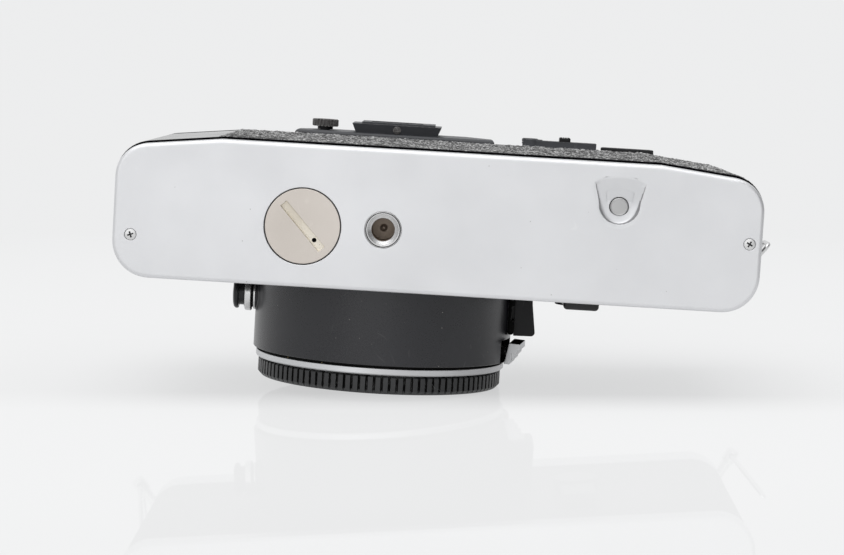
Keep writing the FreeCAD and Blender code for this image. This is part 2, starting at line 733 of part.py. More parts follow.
def shutter_blade(layer, low_y):
    """One blade in its own layer between the frame's plates."""
    z = shutter_front_z + 1.0 + layer * 0.45
    return box(-blade_half_x, blade_half_x, low_y, low_y + blade_tall, z, z + blade_thick)


# ---------------------------------------------------------------- film transport
def film_sprocket():
    """Shaft with two rows of teeth."""
    shaft = rod_y(sprocket_x, sprocket_z, 2.0, -22.0, 22.0)
    barrel = rod_y(sprocket_x, sprocket_z, 4.2, -18.4, 18.4)
    pieces = [barrel]
    for side in (-1, 1):
        middle = side * sprocket_row_y
        pieces.append(rod_y(sprocket_x, sprocket_z, sprocket_r, middle - 2.0, middle + 2.0))
        tooth = prism_y([(sprocket_x - 0.8, sprocket_z + sprocket_r - 0.4),
                         (sprocket_x + 0.8, sprocket_z + sprocket_r - 0.4),
                         (sprocket_x + 0.35, sprocket_z + sprocket_r + sprocket_tooth),
                         (sprocket_x - 0.35, sprocket_z + sprocket_r + sprocket_tooth)],
                        middle - 0.9, middle + 0.9)
        pieces += spun(tooth, sprocket_teeth, sprocket_x, 0, sprocket_z, Y)
    return shaft.fuse(pieces).removeSplitter()


def takeup_spool():
    """Slotted spool that winds the film up."""
    low, high = chamber_low_y + 0.4, chamber_high_y - 0.4
    core = rod_y(spool_x, chamber_z, spool_r, low, high)
    slot = box(spool_x - 0.6, spool_x + 0.6, low + 6, high - 6, chamber_z + 3.4,
               chamber_z + spool_r + 1)
    core = core.cut(Part.makeCompound(spun(slot, 6, spool_x, 0, chamber_z, Y)))
    flanges = [rod_y(spool_x, chamber_z, spool_r + 2, low, low + 1.2),
               rod_y(spool_x, chamber_z, spool_r + 2, high - 1.2, high),
               rod_y(spool_x, chamber_z, 2.5, chamber_low_y - 2.4, casting_top)]
    return core.fuse(flanges).removeSplitter()


def rewind_sleeve():
    """Sleeve that lifts with the rewind knob."""
    tube = rod_y(cassette_x, chamber_z, sleeve_r, chamber_high_y - 2.2, sleeve_top)
    return tube.cut(rod_y(cassette_x, chamber_z, rewind_shaft_r + run, 0, far))


def rewind_shaft():
    """Shaft with the fork that drives the cassette's spool."""
    shaft = rod_y(cassette_x, chamber_z, rewind_shaft_r, 19.5, ring_high_y + 0.6)
    collar = rod_y(cassette_x, chamber_z, sleeve_r - 0.2, 18.0, 20.0)
    fork = box(cassette_x - 0.9, cassette_x + 0.9, 13.0, 18.2, chamber_z - 2.9, chamber_z + 2.9)
    notch = box(cassette_x - 2, cassette_x + 2, 12.0, 16.4, chamber_z - 1.5, chamber_z + 1.5)
    return shaft.fuse([collar, fork.cut(notch)]).removeSplitter()


def rewind_knob():
    """Knurled knob with two ears for the crank."""
    low = ring_high_y + 0.3
    knob = toothed_y(cassette_x, chamber_z, knob_r, knob_r - 0.35, 60, 0.55, low, knob_high_y)
    knob = knob.cut(rod_y(cassette_x, chamber_z, rewind_shaft_r, low, low + 0.3))
    knob = knob.cut(rod_y(cassette_x, chamber_z, knob_r - 1.6, knob_high_y - 0.5, far))
    ears = []
    for side in (-1, 1):
        middle = chamber_z + side * 2.65
        ears.append(box(crank_x - 1.5, crank_x + 1.5, knob_high_y - 0.8, crank_y + 0.9,
                        middle - 0.6, middle + 0.6))
    ears.append(rod_z(crank_x, crank_y, 0.45, chamber_z - 2.7, chamber_z + 2.7))
    return knob.fuse(ears).removeSplitter()


def rewind_crank():
    """Folding crank with its turning grip."""
    low, high = crank_y - 0.7, crank_y + 0.7
    grip_x = cassette_x + 6.2
    arm = box(crank_x, grip_x, low, high, chamber_z - 1.9, chamber_z + 1.9)
    arm = arm.fuse([rod_z(crank_x, crank_y, 0.95, chamber_z - 1.9, chamber_z + 1.9),
                    rod_y(grip_x, chamber_z, 2.8, low, high),
                    toothed_y(grip_x, chamber_z, 2.7, 2.45, 20, 0.55, high - 0.2, high + 3.3)])
    return arm.cut(rod_z(crank_x, crank_y, 0.45 + run, 0, far)).removeSplitter()


# ---------------------------------------------------------------- top cover and controls
def hump(inset):
    """The raised housing of the prism, with every face moved inwards by inset."""
    low_half, high_half = hump_half_low - inset * 1.2, hump_half_high - inset * 0.6
    top = hump_y - inset
    section = [(-low_half, cover_low_y - 1), (-low_half, shoulder_y), (-high_half, top),
               (high_half, top), (low_half, shoulder_y), (low_half, cover_low_y - 1)]
    shape = prism_z(section, hump_front_z + inset, back_z - inset)
    slope = prism_x([(hump_slope_y - inset, hump_front_z + inset - 1), (top + 1, hump_front_z + inset - 1),
                     (top + 1, hump_slope_z + inset), (top, hump_slope_z + inset),
                     (hump_slope_y - inset, hump_front_z + inset)], -far, far)
    return shape.cut(slope)


def top_cover():
    """Pressed cover with the prism hump and every opening that a control needs."""
    cover = body_block(0, cover_low_y, shoulder_y)
    cover = round_edges(cover, 1.2, lambda e: abs(e.BoundBox.YMin - shoulder_y) < 1e-6)
    peak = hump(0)
    peak = round_edges(peak, 1.6, lambda e: e.BoundBox.YMin > shoulder_y - 0.1 and
                       e.BoundBox.ZMin < back_z - 0.5 and e.BoundBox.YMax > shoulder_y + 1)
    cover = cover.fuse(peak)
    inner = body_block(-cover_wall, cover_low_y - 1, cover_inner_y)
    room = hump(cover_wall + 0.1)
    floor = box(-far, far, -far, cover_low_y + 1.0, -far, front_z + 0.9)
    cover = cover.cut(inner.fuse(room.cut(floor)))
    cover = cover.cut(box(-far, far, -far, cover_low_y, -far, far))
    cuts = [rod_z(0, 0, surround_r + 0.15, 0, casting_front)]
    tube_x, tube_y = eye_half_x + 2.1, eye_half_y + 2.0
    cuts.append(box(eye_x - tube_x, eye_x + tube_x, eye_y - tube_y, eye_y + tube_y, back_z - 3, far))
    cuts.append(rod_z(blind_x, eye_y, 1.5, back_z - 3, far))
    cuts.append(box(slider_x - 2.2, slider_x + 6.2, switch_y - 0.7, switch_y + 0.7, back_z - 3, far))
    cuts.append(rod_y(cassette_x, chamber_z, sleeve_r + 0.3, 30, far))
    cuts.append(rod_y(spool_x, chamber_z, lever_shaft_r + 0.3, 30, far))
    cuts.append(rod_y(dial_x, dial_z, 2.3, 30, far))
    cuts.append(rod_y(button_x, button_z, 1.7, 30, far))
    cuts.append(rod_y(counter_x, window_z, window_r, 30, far))
    cuts += [lug_rod(side, lug_r) for side in (-1, 1)]
    cover = cover.cut(Part.makeCompound(cuts))
    collar = rod_y(cassette_x, chamber_z, 4.9, cover_inner_y, ring_high_y - 0.5)
    collar = collar.cut(rod_y(cassette_x, chamber_z, sleeve_r + 0.3, 0, far))
    return cover.fuse(collar).removeSplitter()


def exposure_ring():
    """Knurled ring under the rewind knob."""
    low = shoulder_y + top_gap
    ring = toothed_y(cassette_x, chamber_z, ring_r, ring_r - 0.4, 84, 0.55, low, low + 1.9)
    ring = ring.fuse(rod_y(cassette_x, chamber_z, ring_r - 0.7, low + 1.8, ring_high_y))
    return ring.cut(rod_y(cassette_x, chamber_z, 4.9 + run, 0, far)).removeSplitter()


def shutter_speed_dial():
    """Knurled speed dial on its shaft."""
    low = shoulder_y + top_gap
    dial = toothed_y(dial_x, dial_z, dial_r, dial_r - 0.4, 60, 0.55, low, dial_high_y - 0.6)
    top = turned_y(dial_x, dial_z, [(0, dial_high_y - 0.7), (dial_r - 0.5, dial_high_y - 0.7),
                                    (dial_r - 0.9, dial_high_y), (0, dial_high_y)])
    shaft = rod_y(dial_x, dial_z, 2.0, casting_top + 2, low + 0.5)
    return dial.fuse([top, shaft]).removeSplitter()


def shutter_release_button():
    """Release button with a cable-release socket in its top."""
    head = shoulder_y + button_travel + 0.3
    profile = [(0, casting_top + 5), (1.4, casting_top + 5), (1.4, head), (button_r, head),
               (button_r, head + 1.5), (button_r - 0.4, head + 1.9), (1.2, head + 1.7),
               (0.8, head + 0.6), (0, head + 0.6)]
    return turned_y(button_x, button_z, profile)


def release_collar():
    """Bright collar round the release button."""
    return turned_y(button_x, button_z, [
        (button_r + 0.3, shoulder_y), (4.6, shoulder_y), (4.6, shoulder_y + 1.5),
        (4.1, shoulder_y + 2.2), (button_r + 0.3, shoulder_y + 2.2)])


def advance_lever():
    """Hub, shaft and arm of the film advance lever."""
    low = shoulder_y + top_gap + 0.1
    hub = turned_y(spool_x, chamber_z, [(0, casting_top + 1.2), (lever_shaft_r, casting_top + 1.2),
                                        (lever_shaft_r, low), (hub_r, low), (hub_r, hub_high_y - 0.5),
                                        (hub_r - 0.6, hub_high_y), (0, hub_high_y)])
    arm = prism_y([(spool_x - 6.0, chamber_z + 2), (spool_x - 2.0, back_z - 1.8), (spool_x - 1.6, back_z),
                   (spool_x + 10.8, back_z), (spool_x + 11.6, back_z - 4.5), (spool_x + 7.2, chamber_z)],
                  low + 0.2, low + 1.5)
    return hub.fuse(arm).removeSplitter()


def advance_lever_tip():
    """Black thumb grip over the end of the advance lever."""
    low = shoulder_y + top_gap + 0.1
    over = prism_y([(spool_x - 1.9, back_z + 0.9), (spool_x - 0.9, back_z - 2.4),
                    (spool_x + 6.5, back_z - 6.0), (spool_x + 12.0, back_z - 5.2),
                    (spool_x + 11.5, back_z + 0.9)], low + 1.5, low + 4.2)
    over = round_edges(over, 0.8, lambda e: abs(e.BoundBox.YMin - low - 4.2) < 1e-6)
    hook = box(spool_x - 1.9, spool_x + 11.5, low + 0.2, low + 1.8, back_z, back_z + 0.9)
    return over.fuse(hook).removeSplitter()


def frame_counter_dial():
    """Disc that carries the frame numbers under the window."""
    top = cover_inner_y - 0.3
    disc = rod_y(counter_x, counter_z, counter_r, top - 0.8, top)
    return disc.fuse(rod_y(counter_x, counter_z, 1.0, casting_top + 3, top - 0.4)).removeSplitter()


def frame_counter_window():
    """Clear window over the frame counter."""
    return rod_y(counter_x, window_z, window_r, cover_inner_y, shoulder_y + 0.1)


def hot_shoe():
    """Accessory shoe on the hump; the foot slides in from the back."""
    low_z, high_z = 32.0, 50.7
    shoe = box(-10.3, 10.3, hump_y, hump_y + 3.0, low_z, high_z)
    slot = box(-9.35, 9.35, hump_y + 0.6, hump_y + 2.2, low_z + 1.0, far)
    mouth = box(-6.2, 6.2, hump_y + 2.0, far, low_z + 2.2, far)
    contact = rod_y(0, 40.5, 1.3, hump_y + 0.5, hump_y + 0.8)
    return shoe.cut(slot.fuse(mouth)).fuse(contact).removeSplitter()


# ---------------------------------------------------------------- fittings at the back
def eyepiece_panel():
    """Black panel behind the prism hump."""
    slope = (hump_half_low - hump_half_high) / (hump_y - shoulder_y)
    high_half = hump_half_low - (panel_high_y - shoulder_y) * slope - 1.0
    panel = prism_z([(-panel_half, panel_low_y), (panel_half, panel_low_y),
                     (panel_half, shoulder_y - 1.2), (high_half, panel_high_y),
                     (-high_half, panel_high_y), (-panel_half, shoulder_y - 1.2)], back_z, panel_z)
    panel = round_edges(panel, 0.9, lambda e: abs(e.BoundBox.ZMin - panel_z) < 1e-6)
    tube_x, tube_y = eye_half_x + 2.1, eye_half_y + 2.0
    hole = box(eye_x - tube_x, eye_x + tube_x, eye_y - tube_y, eye_y + tube_y, 0, far)
    return panel.cut(hole.fuse(rod_z(blind_x, eye_y, 1.2 + run, 0, far)))


def eyepiece_frame():
    """Flared accessory frame with a tube that holds the ocular and guides the blind."""
    top_x, top_y = frame_half_x + frame_flare, frame_half_y + frame_flare * 0.5
    corners = []
    for half_x, half_y, z in ((frame_half_x, frame_half_y, panel_z), (top_x, top_y, frame_high_z)):
        corners.append(Part.makePolygon([V(eye_x + x * half_x, eye_y + y * half_y, z) for x, y in
                                         ((-1, -1), (1, -1), (1, 1), (-1, 1), (-1, -1))]))
    flare = Part.makeLoft(corners, True)
    rim = box(eye_x - top_x + 2.4, eye_x + top_x - 1.6, eye_y - top_y + 1.0, eye_y + top_y - 1.0,
              frame_high_z - 0.1, frame_high_z + 0.5)
    tube = box(eye_x - eye_half_x - 2.0, eye_x + eye_half_x + 2.0, eye_y - eye_half_y - 1.9,
               eye_y + eye_half_y + 1.9, 50.6, panel_z + 0.1)
    sight = box(eye_x - eye_half_x, eye_x + eye_half_x, eye_y - eye_half_y, eye_y + eye_half_y, 0, far)
    blind_slot = box(eye_x - 7.5, eye_x + 7.5, eye_y - eye_half_y - 0.6, far, 53.7, 54.9)
    return flare.fuse([rim, tube]).cut(sight.fuse(blind_slot)).removeSplitter()


def eyepiece_blind():
    """Sliding plate that shuts the eyepiece, parked above it."""
    low = eye_y - eye_half_y - 0.3 + blind_travel
    return box(eye_x - 7.2, eye_x + 7.2, low, low + 2 * eye_half_y + 0.6, 54.0, 54.6)


def eyepiece_blind_knob():
    """Knurled knob of the eyepiece blind."""
    head = toothed_y(blind_x, 0, blind_knob_r, blind_knob_r - 0.35, 22, 0.55, 0, 1.8)
    head = turned_about(head, blind_x, 0, 0, X, 90)
    head.translate(V(0, eye_y, panel_z + 0.9))
    neck = rod_z(blind_x, eye_y, 1.95, panel_z + 0.15, panel_z + 1.0)
    shaft = rod_z(blind_x, eye_y, 1.2, 54.6, panel_z + 0.3)
    return head.fuse([neck, shaft]).removeSplitter()


def power_switch_plate():
    """Raised black plate at the back, with a round end and a slot for its slider."""
    high = back_z + switch_proud
    plate = box(switch_x - 1.5, switch_end_x, switch_y - 2.4, switch_y + 2.4, back_z, high)
    plate = plate.fuse(rod_z(switch_x - 2.4, switch_y, 2.5, back_z, high + 0.2)).removeSplitter()
    slot = box(slider_x - 2.0, slider_x + 6.0, switch_y - 0.7, switch_y + 0.7, 0, far)
    return plate.cut(slot)


def power_switch_slider():
    """Small slider of the main switch."""
    high = back_z + switch_proud
    head = box(slider_x - 1.4, slider_x + 1.4, switch_y - 1.9, switch_y + 1.9, high + 0.1, high + 1.1)
    head = round_edges(head, 0.3, lambda e: abs(e.BoundBox.ZMin - high - 1.1) < 1e-6)
    stem = box(slider_x - 1.2, slider_x + 1.2, switch_y - 0.6, switch_y + 0.6, back_z - 2.5, high + 0.4)
    return head.fuse(stem).removeSplitter()


# ---------------------------------------------------------------- back door
def back_door():
    """Curved door that wraps round both ends of the body."""
    door = body_block(door_proud, door_low_y, door_high_y)
    door = door.cut(body_block(door_proud - door_wall, door_low_y - 1, door_high_y + 1))
    door = door.cut(box(-far, far, -far, far, 0, door_edge_z))
    door = door.cut(door_leather_zone(leather_thick - 0.05))
    for low, high in fixed_knuckles:
        door = door.cut(rod_y(hinge_x, hinge_z, knuckle_r + 0.4, low - 0.3, high + 0.3))
    barrel = rod_y(hinge_x, hinge_z, knuckle_r, *door_knuckle)
    door = door.cut(rod_y(hinge_x, hinge_z, knuckle_r, *door_knuckle)).fuse(barrel)
    return door.cut(rod_y(hinge_x, hinge_z, hinge_pin_r + run, -far / 2, far / 2)).removeSplitter()


def door_leather_zone(depth):
    """Everything near the door's surface that its leather may fill."""
    low, high = door_low_y + 1.0, door_high_y - 1.0
    skin = body_block(door_proud + 0.05, low, high).cut(body_block(door_proud - depth, low - 1, high + 1))
    return skin.common(box(door_leather_x, far, low, high, hinge_z + 3.2, far))


def door_leather():
    """Grained leather let into the door."""
    return door_leather_zone(leather_thick - 0.05)


def pressure_plate():
    """Plate that holds the film flat."""
    plate = box(-29.0, 24.5, -20.2, 20.2, film_z + 0.45, film_z + 1.45)
    return round_edges(plate, 0.6, lambda e: abs(e.BoundBox.ZMax - film_z - 0.45) < 1e-6)


def pressure_plate_spring():
    """Bowed leaf between the door and the pressure plate."""
    low, high = film_z + 1.45, door_inner_z
    points = [(-20, low), (-16, low), (-3, high - 0.3), (3, high - 0.3), (16, low), (20, low),
              (20, low + 0.3), (16.1, low + 0.3), (3.1, high), (-3.1, high), (-16.1, low + 0.3),
              (-20, low + 0.3)]
    return prism_y([(x - 2.2, z) for x, z in points], -6, 6)


def door_hinge_pin():
    """Pin through all the hinge's knuckles."""
    return rod_y(hinge_x, hinge_z, hinge_pin_r, fixed_knuckles[0][0], fixed_knuckles[1][1])


def foam_seals():
    """Light seals on the casting's rear ledges and the pads that stop the mirror."""
    flat = flat_half - 0.5
    strips = [box(body_centre_x - flat, body_centre_x + flat, low_y, high_y, core_z, core_z + 0.3)
              for low_y, high_y in ((-36.8, -34.8), (22.6, 23.6))]
    inner = box_half - box_wall
    for side in (-1, 1):
        low_x, high_x = sorted((side * inner, side * (mirror_half - 4.5)))
        strips.append(box(low_x, high_x, screen_y - 3.9, screen_y - 1.2, 13.0, 14.6))
    return Part.makeCompound(strips)


# ---------------------------------------------------------------- front and ends
def front_leather():
    """Grained covering of the front and both ends."""
    low, high = skirt_top + skin_seam, cover_low_y - skin_seam
    skin = body_block(-0.2, low, high).cut(body_block(-skin_inset, low - 1, high + 1))
    cuts = [box(-far, far, -far, far, door_edge_z - 0.3, far)]
    cuts.append(rod_z(0, 0, surround_r + 0.2, 0, casting_front + 1))
    cuts.append(box(0, rail_x + 0.3, -11.3, 9.3, 0, casting_front + 1))
    cuts.append(rod_z(timer_x, timer_hub_y, 2.5, 0, casting_front + 1))
    cuts.append(rod_y(hinge_x, hinge_z, hinge_swing_r, -far / 2, far / 2))
    return skin.cut(Part.makeCompound(cuts))


def self_timer_lever():
    """Black lever with a round hub, hanging towards the bottom plate."""
    back = leather_front - 0.3
    hub = rod_z(timer_x, timer_hub_y, timer_half + 1.2, timer_front_z - 0.4, back)
    arm = box(timer_x - timer_half, timer_x + timer_half, timer_tip_y, timer_hub_y,
              timer_front_z, back)
    arm = round_edges(arm, 0.9, lambda e: e.BoundBox.YMax < timer_tip_y + 0.1 or
                      (along(e, Y) and e.BoundBox.ZMax < timer_front_z + 0.1))
    shaft = rod_z(timer_x, timer_hub_y, 2.0, back - 0.5, casting_front + 4.0)
    return hub.fuse([arm, shaft]).removeSplitter()


def lug_frame(side):
    """Root, tip and direction of a strap lug; side is 1 at the right end and -1 at the left."""
    tip = V(body_centre_x + side * (body_half + 3.5), lug_y, front_z - 0.3)
    direction = V(side * 0.55, 0, -0.835).normalize()
    return tip - direction * 9.5, tip, direction


def lug_rod(side, radius):
    """Plain rod on the lug's axis."""
    root, tip, direction = lug_frame(side)
    return Part.makeCylinder(radius, (tip - root).Length, root, direction)


def lug_eye(side):
    """Centre of the lug's eye."""
    root, tip, direction = lug_frame(side)
    return tip - direction * 1.5


def strap_lugs():
    """Two posts that stand out of the front corners, each with an eye."""
    lugs = []
    for side in (-1, 1):
        root, tip, direction = lug_frame(side)
        eye = lug_eye(side)
        lug = lug_rod(side, lug_r).fuse(rod_y(eye.x, eye.z, 1.5, lug_y - 1.1, lug_y + 1.1))
        hole = rod_y(eye.x, eye.z, ring_wire + 0.2, -far, far)
        foot = Part.makeCylinder(2.2, 1.0, root, direction)
        foot = foot.common(body_block(-cover_wall, lug_y - 4, lug_y + 4))
        lugs.append(lug.fuse(foot).cut(hole).removeSplitter())
    return Part.makeCompound(lugs)


def strap_ring(side, lean):
    """Wire loop through a lug's eye; lean is its angle from +Z, outwards."""
    eye = lug_eye(side)
    near, wide = 1.9, 5.0
    corners = [V(eye.x, lug_y + y, eye.z + reach) for reach, y in
               ((0, -near), (0, near), (ring_reach, wide), (ring_reach, -wide))]
    rods = []
    for start, end in zip(corners, corners[1:] + corners[:1]):
        rods.append(Part.makeCylinder(ring_wire, (end - start).Length, start, end - start))
        rods.append(Part.makeSphere(ring_wire, start))
    ring = rods[0].fuse(rods[1:]).removeSplitter()
    return turned_about(ring, eye.x, lug_y, eye.z, Y, side * lean)


# ---------------------------------------------------------------- one file for every node
first_low = -gate_half_y - 0.4
parked_high = shutter_half_y - 1.3 - blade_tall
nodes = {
    "body_casting": body_casting,
    "mirror_box": mirror_box,
    "lens_mount_surround": lens_mount_surround,
    "mount_flange": mount_flange,
    "cross_head_screws": cross_head_screws,
    "index_dot": index_dot,
    "bottom_plate": bottom_plate,
    "tripod_socket": tripod_socket,
    "button_cells": button_cells,
    "top_cover": top_cover,
    "front_leather": front_leather,
    "door_hinge_pin": door_hinge_pin,
    "foam_seals": foam_seals,
    "focusing_screen": focusing_screen,
    "pentaprism": pentaprism,
    "eyepiece_lens": eyepiece_lens,
    "eyepiece_panel": eyepiece_panel,
    "eyepiece_frame": eyepiece_frame,
    "shutter_frame": shutter_frame,
    "release_collar": release_collar,
    "frame_counter_window": frame_counter_window,
    "hot_shoe": hot_shoe,
    "power_switch_plate": power_switch_plate,
    "lens_release_collar": lens_release_collar,
    "strap_lugs": strap_lugs,
    "body_cap": body_cap,
    "battery_cover": battery_cover,
    "rewind_release_button": rewind_release_button,
    "back_door": back_door,
    "door_leather": door_leather,
    "pressure_plate": pressure_plate,
    "pressure_plate_spring": pressure_plate_spring,
    "eyepiece_blind": eyepiece_blind,
    "eyepiece_blind_knob": eyepiece_blind_knob,
    "first_curtain_upper": lambda: shutter_blade(3, first_low + blade_tall - blade_lap),
    "first_curtain_lower": lambda: shutter_blade(2, first_low),
    "second_curtain_upper": lambda: shutter_blade(1, parked_high),
    "second_curtain_lower": lambda: shutter_blade(0, parked_high),
    "reflex_mirror": reflex_mirror,
    "mirror_holder": mirror_holder,
    "film_sprocket": film_sprocket,
    "takeup_spool": takeup_spool,
    "rewind_sleeve": rewind_sleeve,
    "rewind_shaft": rewind_shaft,
    "rewind_knob": rewind_knob,
    "rewind_crank": rewind_crank,
    "exposure_ring": exposure_ring,
    "shutter_speed_dial": shutter_speed_dial,
    "shutter_release_button": shutter_release_button,
    "advance_lever": advance_lever,
    "advance_lever_tip": advance_lever_tip,
    "frame_counter_dial": frame_counter_dial,
    "power_switch_slider": power_switch_slider,
    "self_timer_lever": self_timer_lever,
    "lens_release_button": lens_release_button,
    "stop_down_lever": stop_down_lever,
    "preview_slider": preview_slider,
    "strap_ring_left": lambda: strap_ring(-1, 0),
    "strap_ring_right": lambda: strap_ring(1, 36),
}

os.makedirs("parts", exist_ok=True)
for name, build in nodes.items():
    shape = build()
    shape.exportStep("parts/" + name + ".step")
    bounds = shape.BoundBox
    print("%-24s solids %d valid %s volume %9.1f  x %.1f %.1f  y %.1f %.1f  z %.1f %.1f" % (
        name, len(shape.Solids), shape.isValid(), shape.Volume, bounds.XMin, bounds.XMax,
        bounds.YMin, bounds.YMax, bounds.ZMin, bounds.ZMax))
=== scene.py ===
"""Visual model of a single-lens reflex camera body without its lens, lying face down on its body cap.

Sizes are millimetres in the shared frame: +X towards the film advance lever, +Y towards the hot shoe,
+Z towards the camera's back, with the origin in the middle of the cap's rest face.  They become metres
where a mesh is made.
"""

import logging
import math
from collections.abc import Callable, Sequence
from dataclasses import dataclass, fields
from enum import Enum

import bpy
from mathutils import Matrix, Vector


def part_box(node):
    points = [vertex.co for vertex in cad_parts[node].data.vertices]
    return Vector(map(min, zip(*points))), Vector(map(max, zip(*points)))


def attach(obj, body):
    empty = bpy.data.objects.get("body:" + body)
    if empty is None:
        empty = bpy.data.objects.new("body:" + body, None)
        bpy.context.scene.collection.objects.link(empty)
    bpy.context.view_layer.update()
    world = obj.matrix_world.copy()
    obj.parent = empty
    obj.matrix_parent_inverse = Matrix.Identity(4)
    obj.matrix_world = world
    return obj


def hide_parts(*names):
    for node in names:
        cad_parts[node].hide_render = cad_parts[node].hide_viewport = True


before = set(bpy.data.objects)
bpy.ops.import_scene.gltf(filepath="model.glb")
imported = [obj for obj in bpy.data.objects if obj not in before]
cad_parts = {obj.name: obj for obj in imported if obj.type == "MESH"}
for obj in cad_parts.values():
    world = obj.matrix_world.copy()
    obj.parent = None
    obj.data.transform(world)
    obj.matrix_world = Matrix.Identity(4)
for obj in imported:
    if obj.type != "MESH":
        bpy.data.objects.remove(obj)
LOG = logging.getLogger("camera")
MM = 0.001
MOUNT_SCREWS = 5
MOUNT_SCREW_CIRCLE = 27.3
Colour = tuple[float, float, float]
# A station is the radius and height of a turned ring, or a corner of a flat outline.
Station = tuple[float, float]
Outline = tuple[Station, ...]
Point = tuple[float, float, float]
# A block is given by its lowest and its highest corner.
Block = tuple[Point, Point]
Test = Callable[[Vector, Vector], bool]
Palette = dict[str, bpy.types.Material]
LEFT_EYE: Point = (-63.38, 31.0, 25.93)
RIGHT_EYE: Point = (87.78, 31.0, 25.93)


class Facing(Enum):
    """Direction in which a piece modelled upright is laid, as the turn that lays it there."""

    TO_BACK = (0.0, 0.0, 0.0)
    TO_FRONT = (math.pi, 0.0, 0.0)
    TO_TOP = (-math.pi / 2, 0.0, 0.0)
    TO_BASE = (math.pi / 2, 0.0, 0.0)
    TO_RIGHT = (0.0, math.pi / 2, 0.0)


class Part(Enum):
    """Kind of mesh element."""

    VERT = "VERT"
    EDGE = "EDGE"
    FACE = "FACE"


# ---------------------------------------------------------------- modelling steps
def deselect() -> None:
    """Deselect every object."""
    bpy.ops.object.select_all(action="DESELECT")


def activate(piece: bpy.types.Object) -> None:
    """Select one object alone and make it active.

    Args:
        piece: The object.
    """
    deselect()
    piece.select_set(True)
    bpy.context.view_layer.objects.active = piece


def named(name: str) -> bpy.types.Object:
    """Name the active object and its mesh, and return it.

    Args:
        name: New name.

    Returns:
        The active object.
    """
    piece = bpy.context.object
    piece.name = name
    piece.data.name = name
    return piece


def applied(piece: bpy.types.Object) -> bpy.types.Object:
    """Move an object's place, turn and size into its mesh.

    Args:
        piece: The object.

    Returns:
        The same object.
    """
    activate(piece)
    bpy.ops.object.transform_apply(location=True, rotation=True, scale=True)
    return piece


def open_edit(part: Part, action: str = "SELECT") -> None:
    """Open the active mesh for editing with everything of one kind selected, or nothing.

    Args:
        part: Kind of element that is selected.
        action: SELECT or DESELECT.
    """
    bpy.ops.object.mode_set(mode="EDIT")
    bpy.ops.mesh.select_mode(type=part.value)
    bpy.ops.mesh.select_all(action=action)


def close_edit() -> None:
    """Leave edit mode."""
    bpy.ops.object.mode_set(mode="OBJECT")


def pick(piece: bpy.types.Object, part: Part, test: Test) -> None:
    """Open a mesh for editing with only the wanted points or faces selected.

    Args:
        piece: Mesh object.
        part: Kind of element to pick, points or faces.
        test: Called with the element's centre in millimetres and its normal.
    """
    activate(piece)
    open_edit(part, "DESELECT")
    close_edit()
    if part is Part.VERT:
        items = [(point, point.co, point.normal) for point in piece.data.vertices]
    else:
        items = [(face, face.center, face.normal) for face in piece.data.polygons]
    for item, centre, normal in items:
        if test(centre / MM, normal):
            item.select = True
    bpy.ops.object.mode_set(mode="EDIT")


def tidy(piece: bpy.types.Object) -> bpy.types.Object:
    """Merge doubled points and turn every face outwards.

    Args:
        piece: Mesh object.

    Returns:
        The same object.
    """
    activate(piece)
    bpy.ops.object.mode_set(mode="EDIT")
    bpy.ops.mesh.select_all(action="SELECT")
    bpy.ops.mesh.remove_doubles(threshold=1e-7)
    bpy.ops.mesh.normals_make_consistent(inside=False)
    close_edit()
    return piece


def turned(name: str, stations: Sequence[Station], segments: int = 96,
           closed: bool = False) -> bpy.types.Object:
    """Turn a piece on the lathe about its own upright axis.

    Args:
        name: Piece name.
        stations: Radius and height of each ring in turn, in millimetres.
        segments: Number of sides.
        closed: True for a ring whose last station joins its first; otherwise both ends are filled.

    Returns:
        The new mesh object.
    """
    deselect()
    bpy.ops.mesh.primitive_circle_add(vertices=segments, radius=stations[0][0] * MM,
                                      fill_type="NOTHING" if closed else "NGON",
                                      location=(0, 0, stations[0][1] * MM))
    piece = named(name)
    open_edit(Part.EDGE if closed else Part.FACE)
    path = list(stations) + ([stations[0]] if closed else [])
    for (r0, h0), (r1, h1) in zip(path, path[1:]):
        bpy.ops.mesh.extrude_region_move(
            TRANSFORM_OT_translate={"value": (0, 0, (h1 - h0) * MM)})
        bpy.ops.transform.resize(value=(r1 / r0, r1 / r0, 1), center_override=(0, 0, h1 * MM))
    close_edit()
    applied(piece)
    return tidy(piece)


def slab(name: str, low: Point, high: Point) -> bpy.types.Object:
    """Start a block between two corners.

    Args:
        name: Piece name.
        low: Corner with the lowest coordinates, in millimetres.
        high: Corner with the highest coordinates.

    Returns:
        The new mesh object.
    """
    deselect()
    bpy.ops.mesh.primitive_cube_add(
        size=1, location=[(a + b) / 2 * MM for a, b in zip(low, high)],
        scale=[(b - a) * MM for a, b in zip(low, high)])
    return applied(named(name))


def cut_from_outline(name: str, points: Sequence[Station], low: float,
                     high: float) -> bpy.types.Object:
    """Draw a plate's outline point by point and raise it.

    Args:
        name: Piece name.
        points: Corners in the plate's own plane, in millimetres.
        low: Height of the lower face.
        high: Height of the upper face.

    Returns:
        The new mesh object, upright about its own axis.
    """
    deselect()
    bpy.ops.mesh.primitive_circle_add(vertices=len(points), radius=MM, fill_type="NGON",
                                      location=(0, 0, low * MM))
    piece = applied(named(name))
    starts = [v.co.copy() for v in piece.data.vertices]
    for index, (x, y) in enumerate(points):
        open_edit(Part.VERT, "DESELECT")
        close_edit()
        piece.data.vertices[index].select = True
        bpy.ops.object.mode_set(mode="EDIT")
        start = starts[index]
        bpy.ops.transform.translate(value=(x * MM - start.x, y * MM - start.y, 0))
        close_edit()
    open_edit(Part.FACE)
    bpy.ops.mesh.extrude_region_move(TRANSFORM_OT_translate={"value": (0, 0, (high - low) * MM)})
    close_edit()
    return tidy(piece)


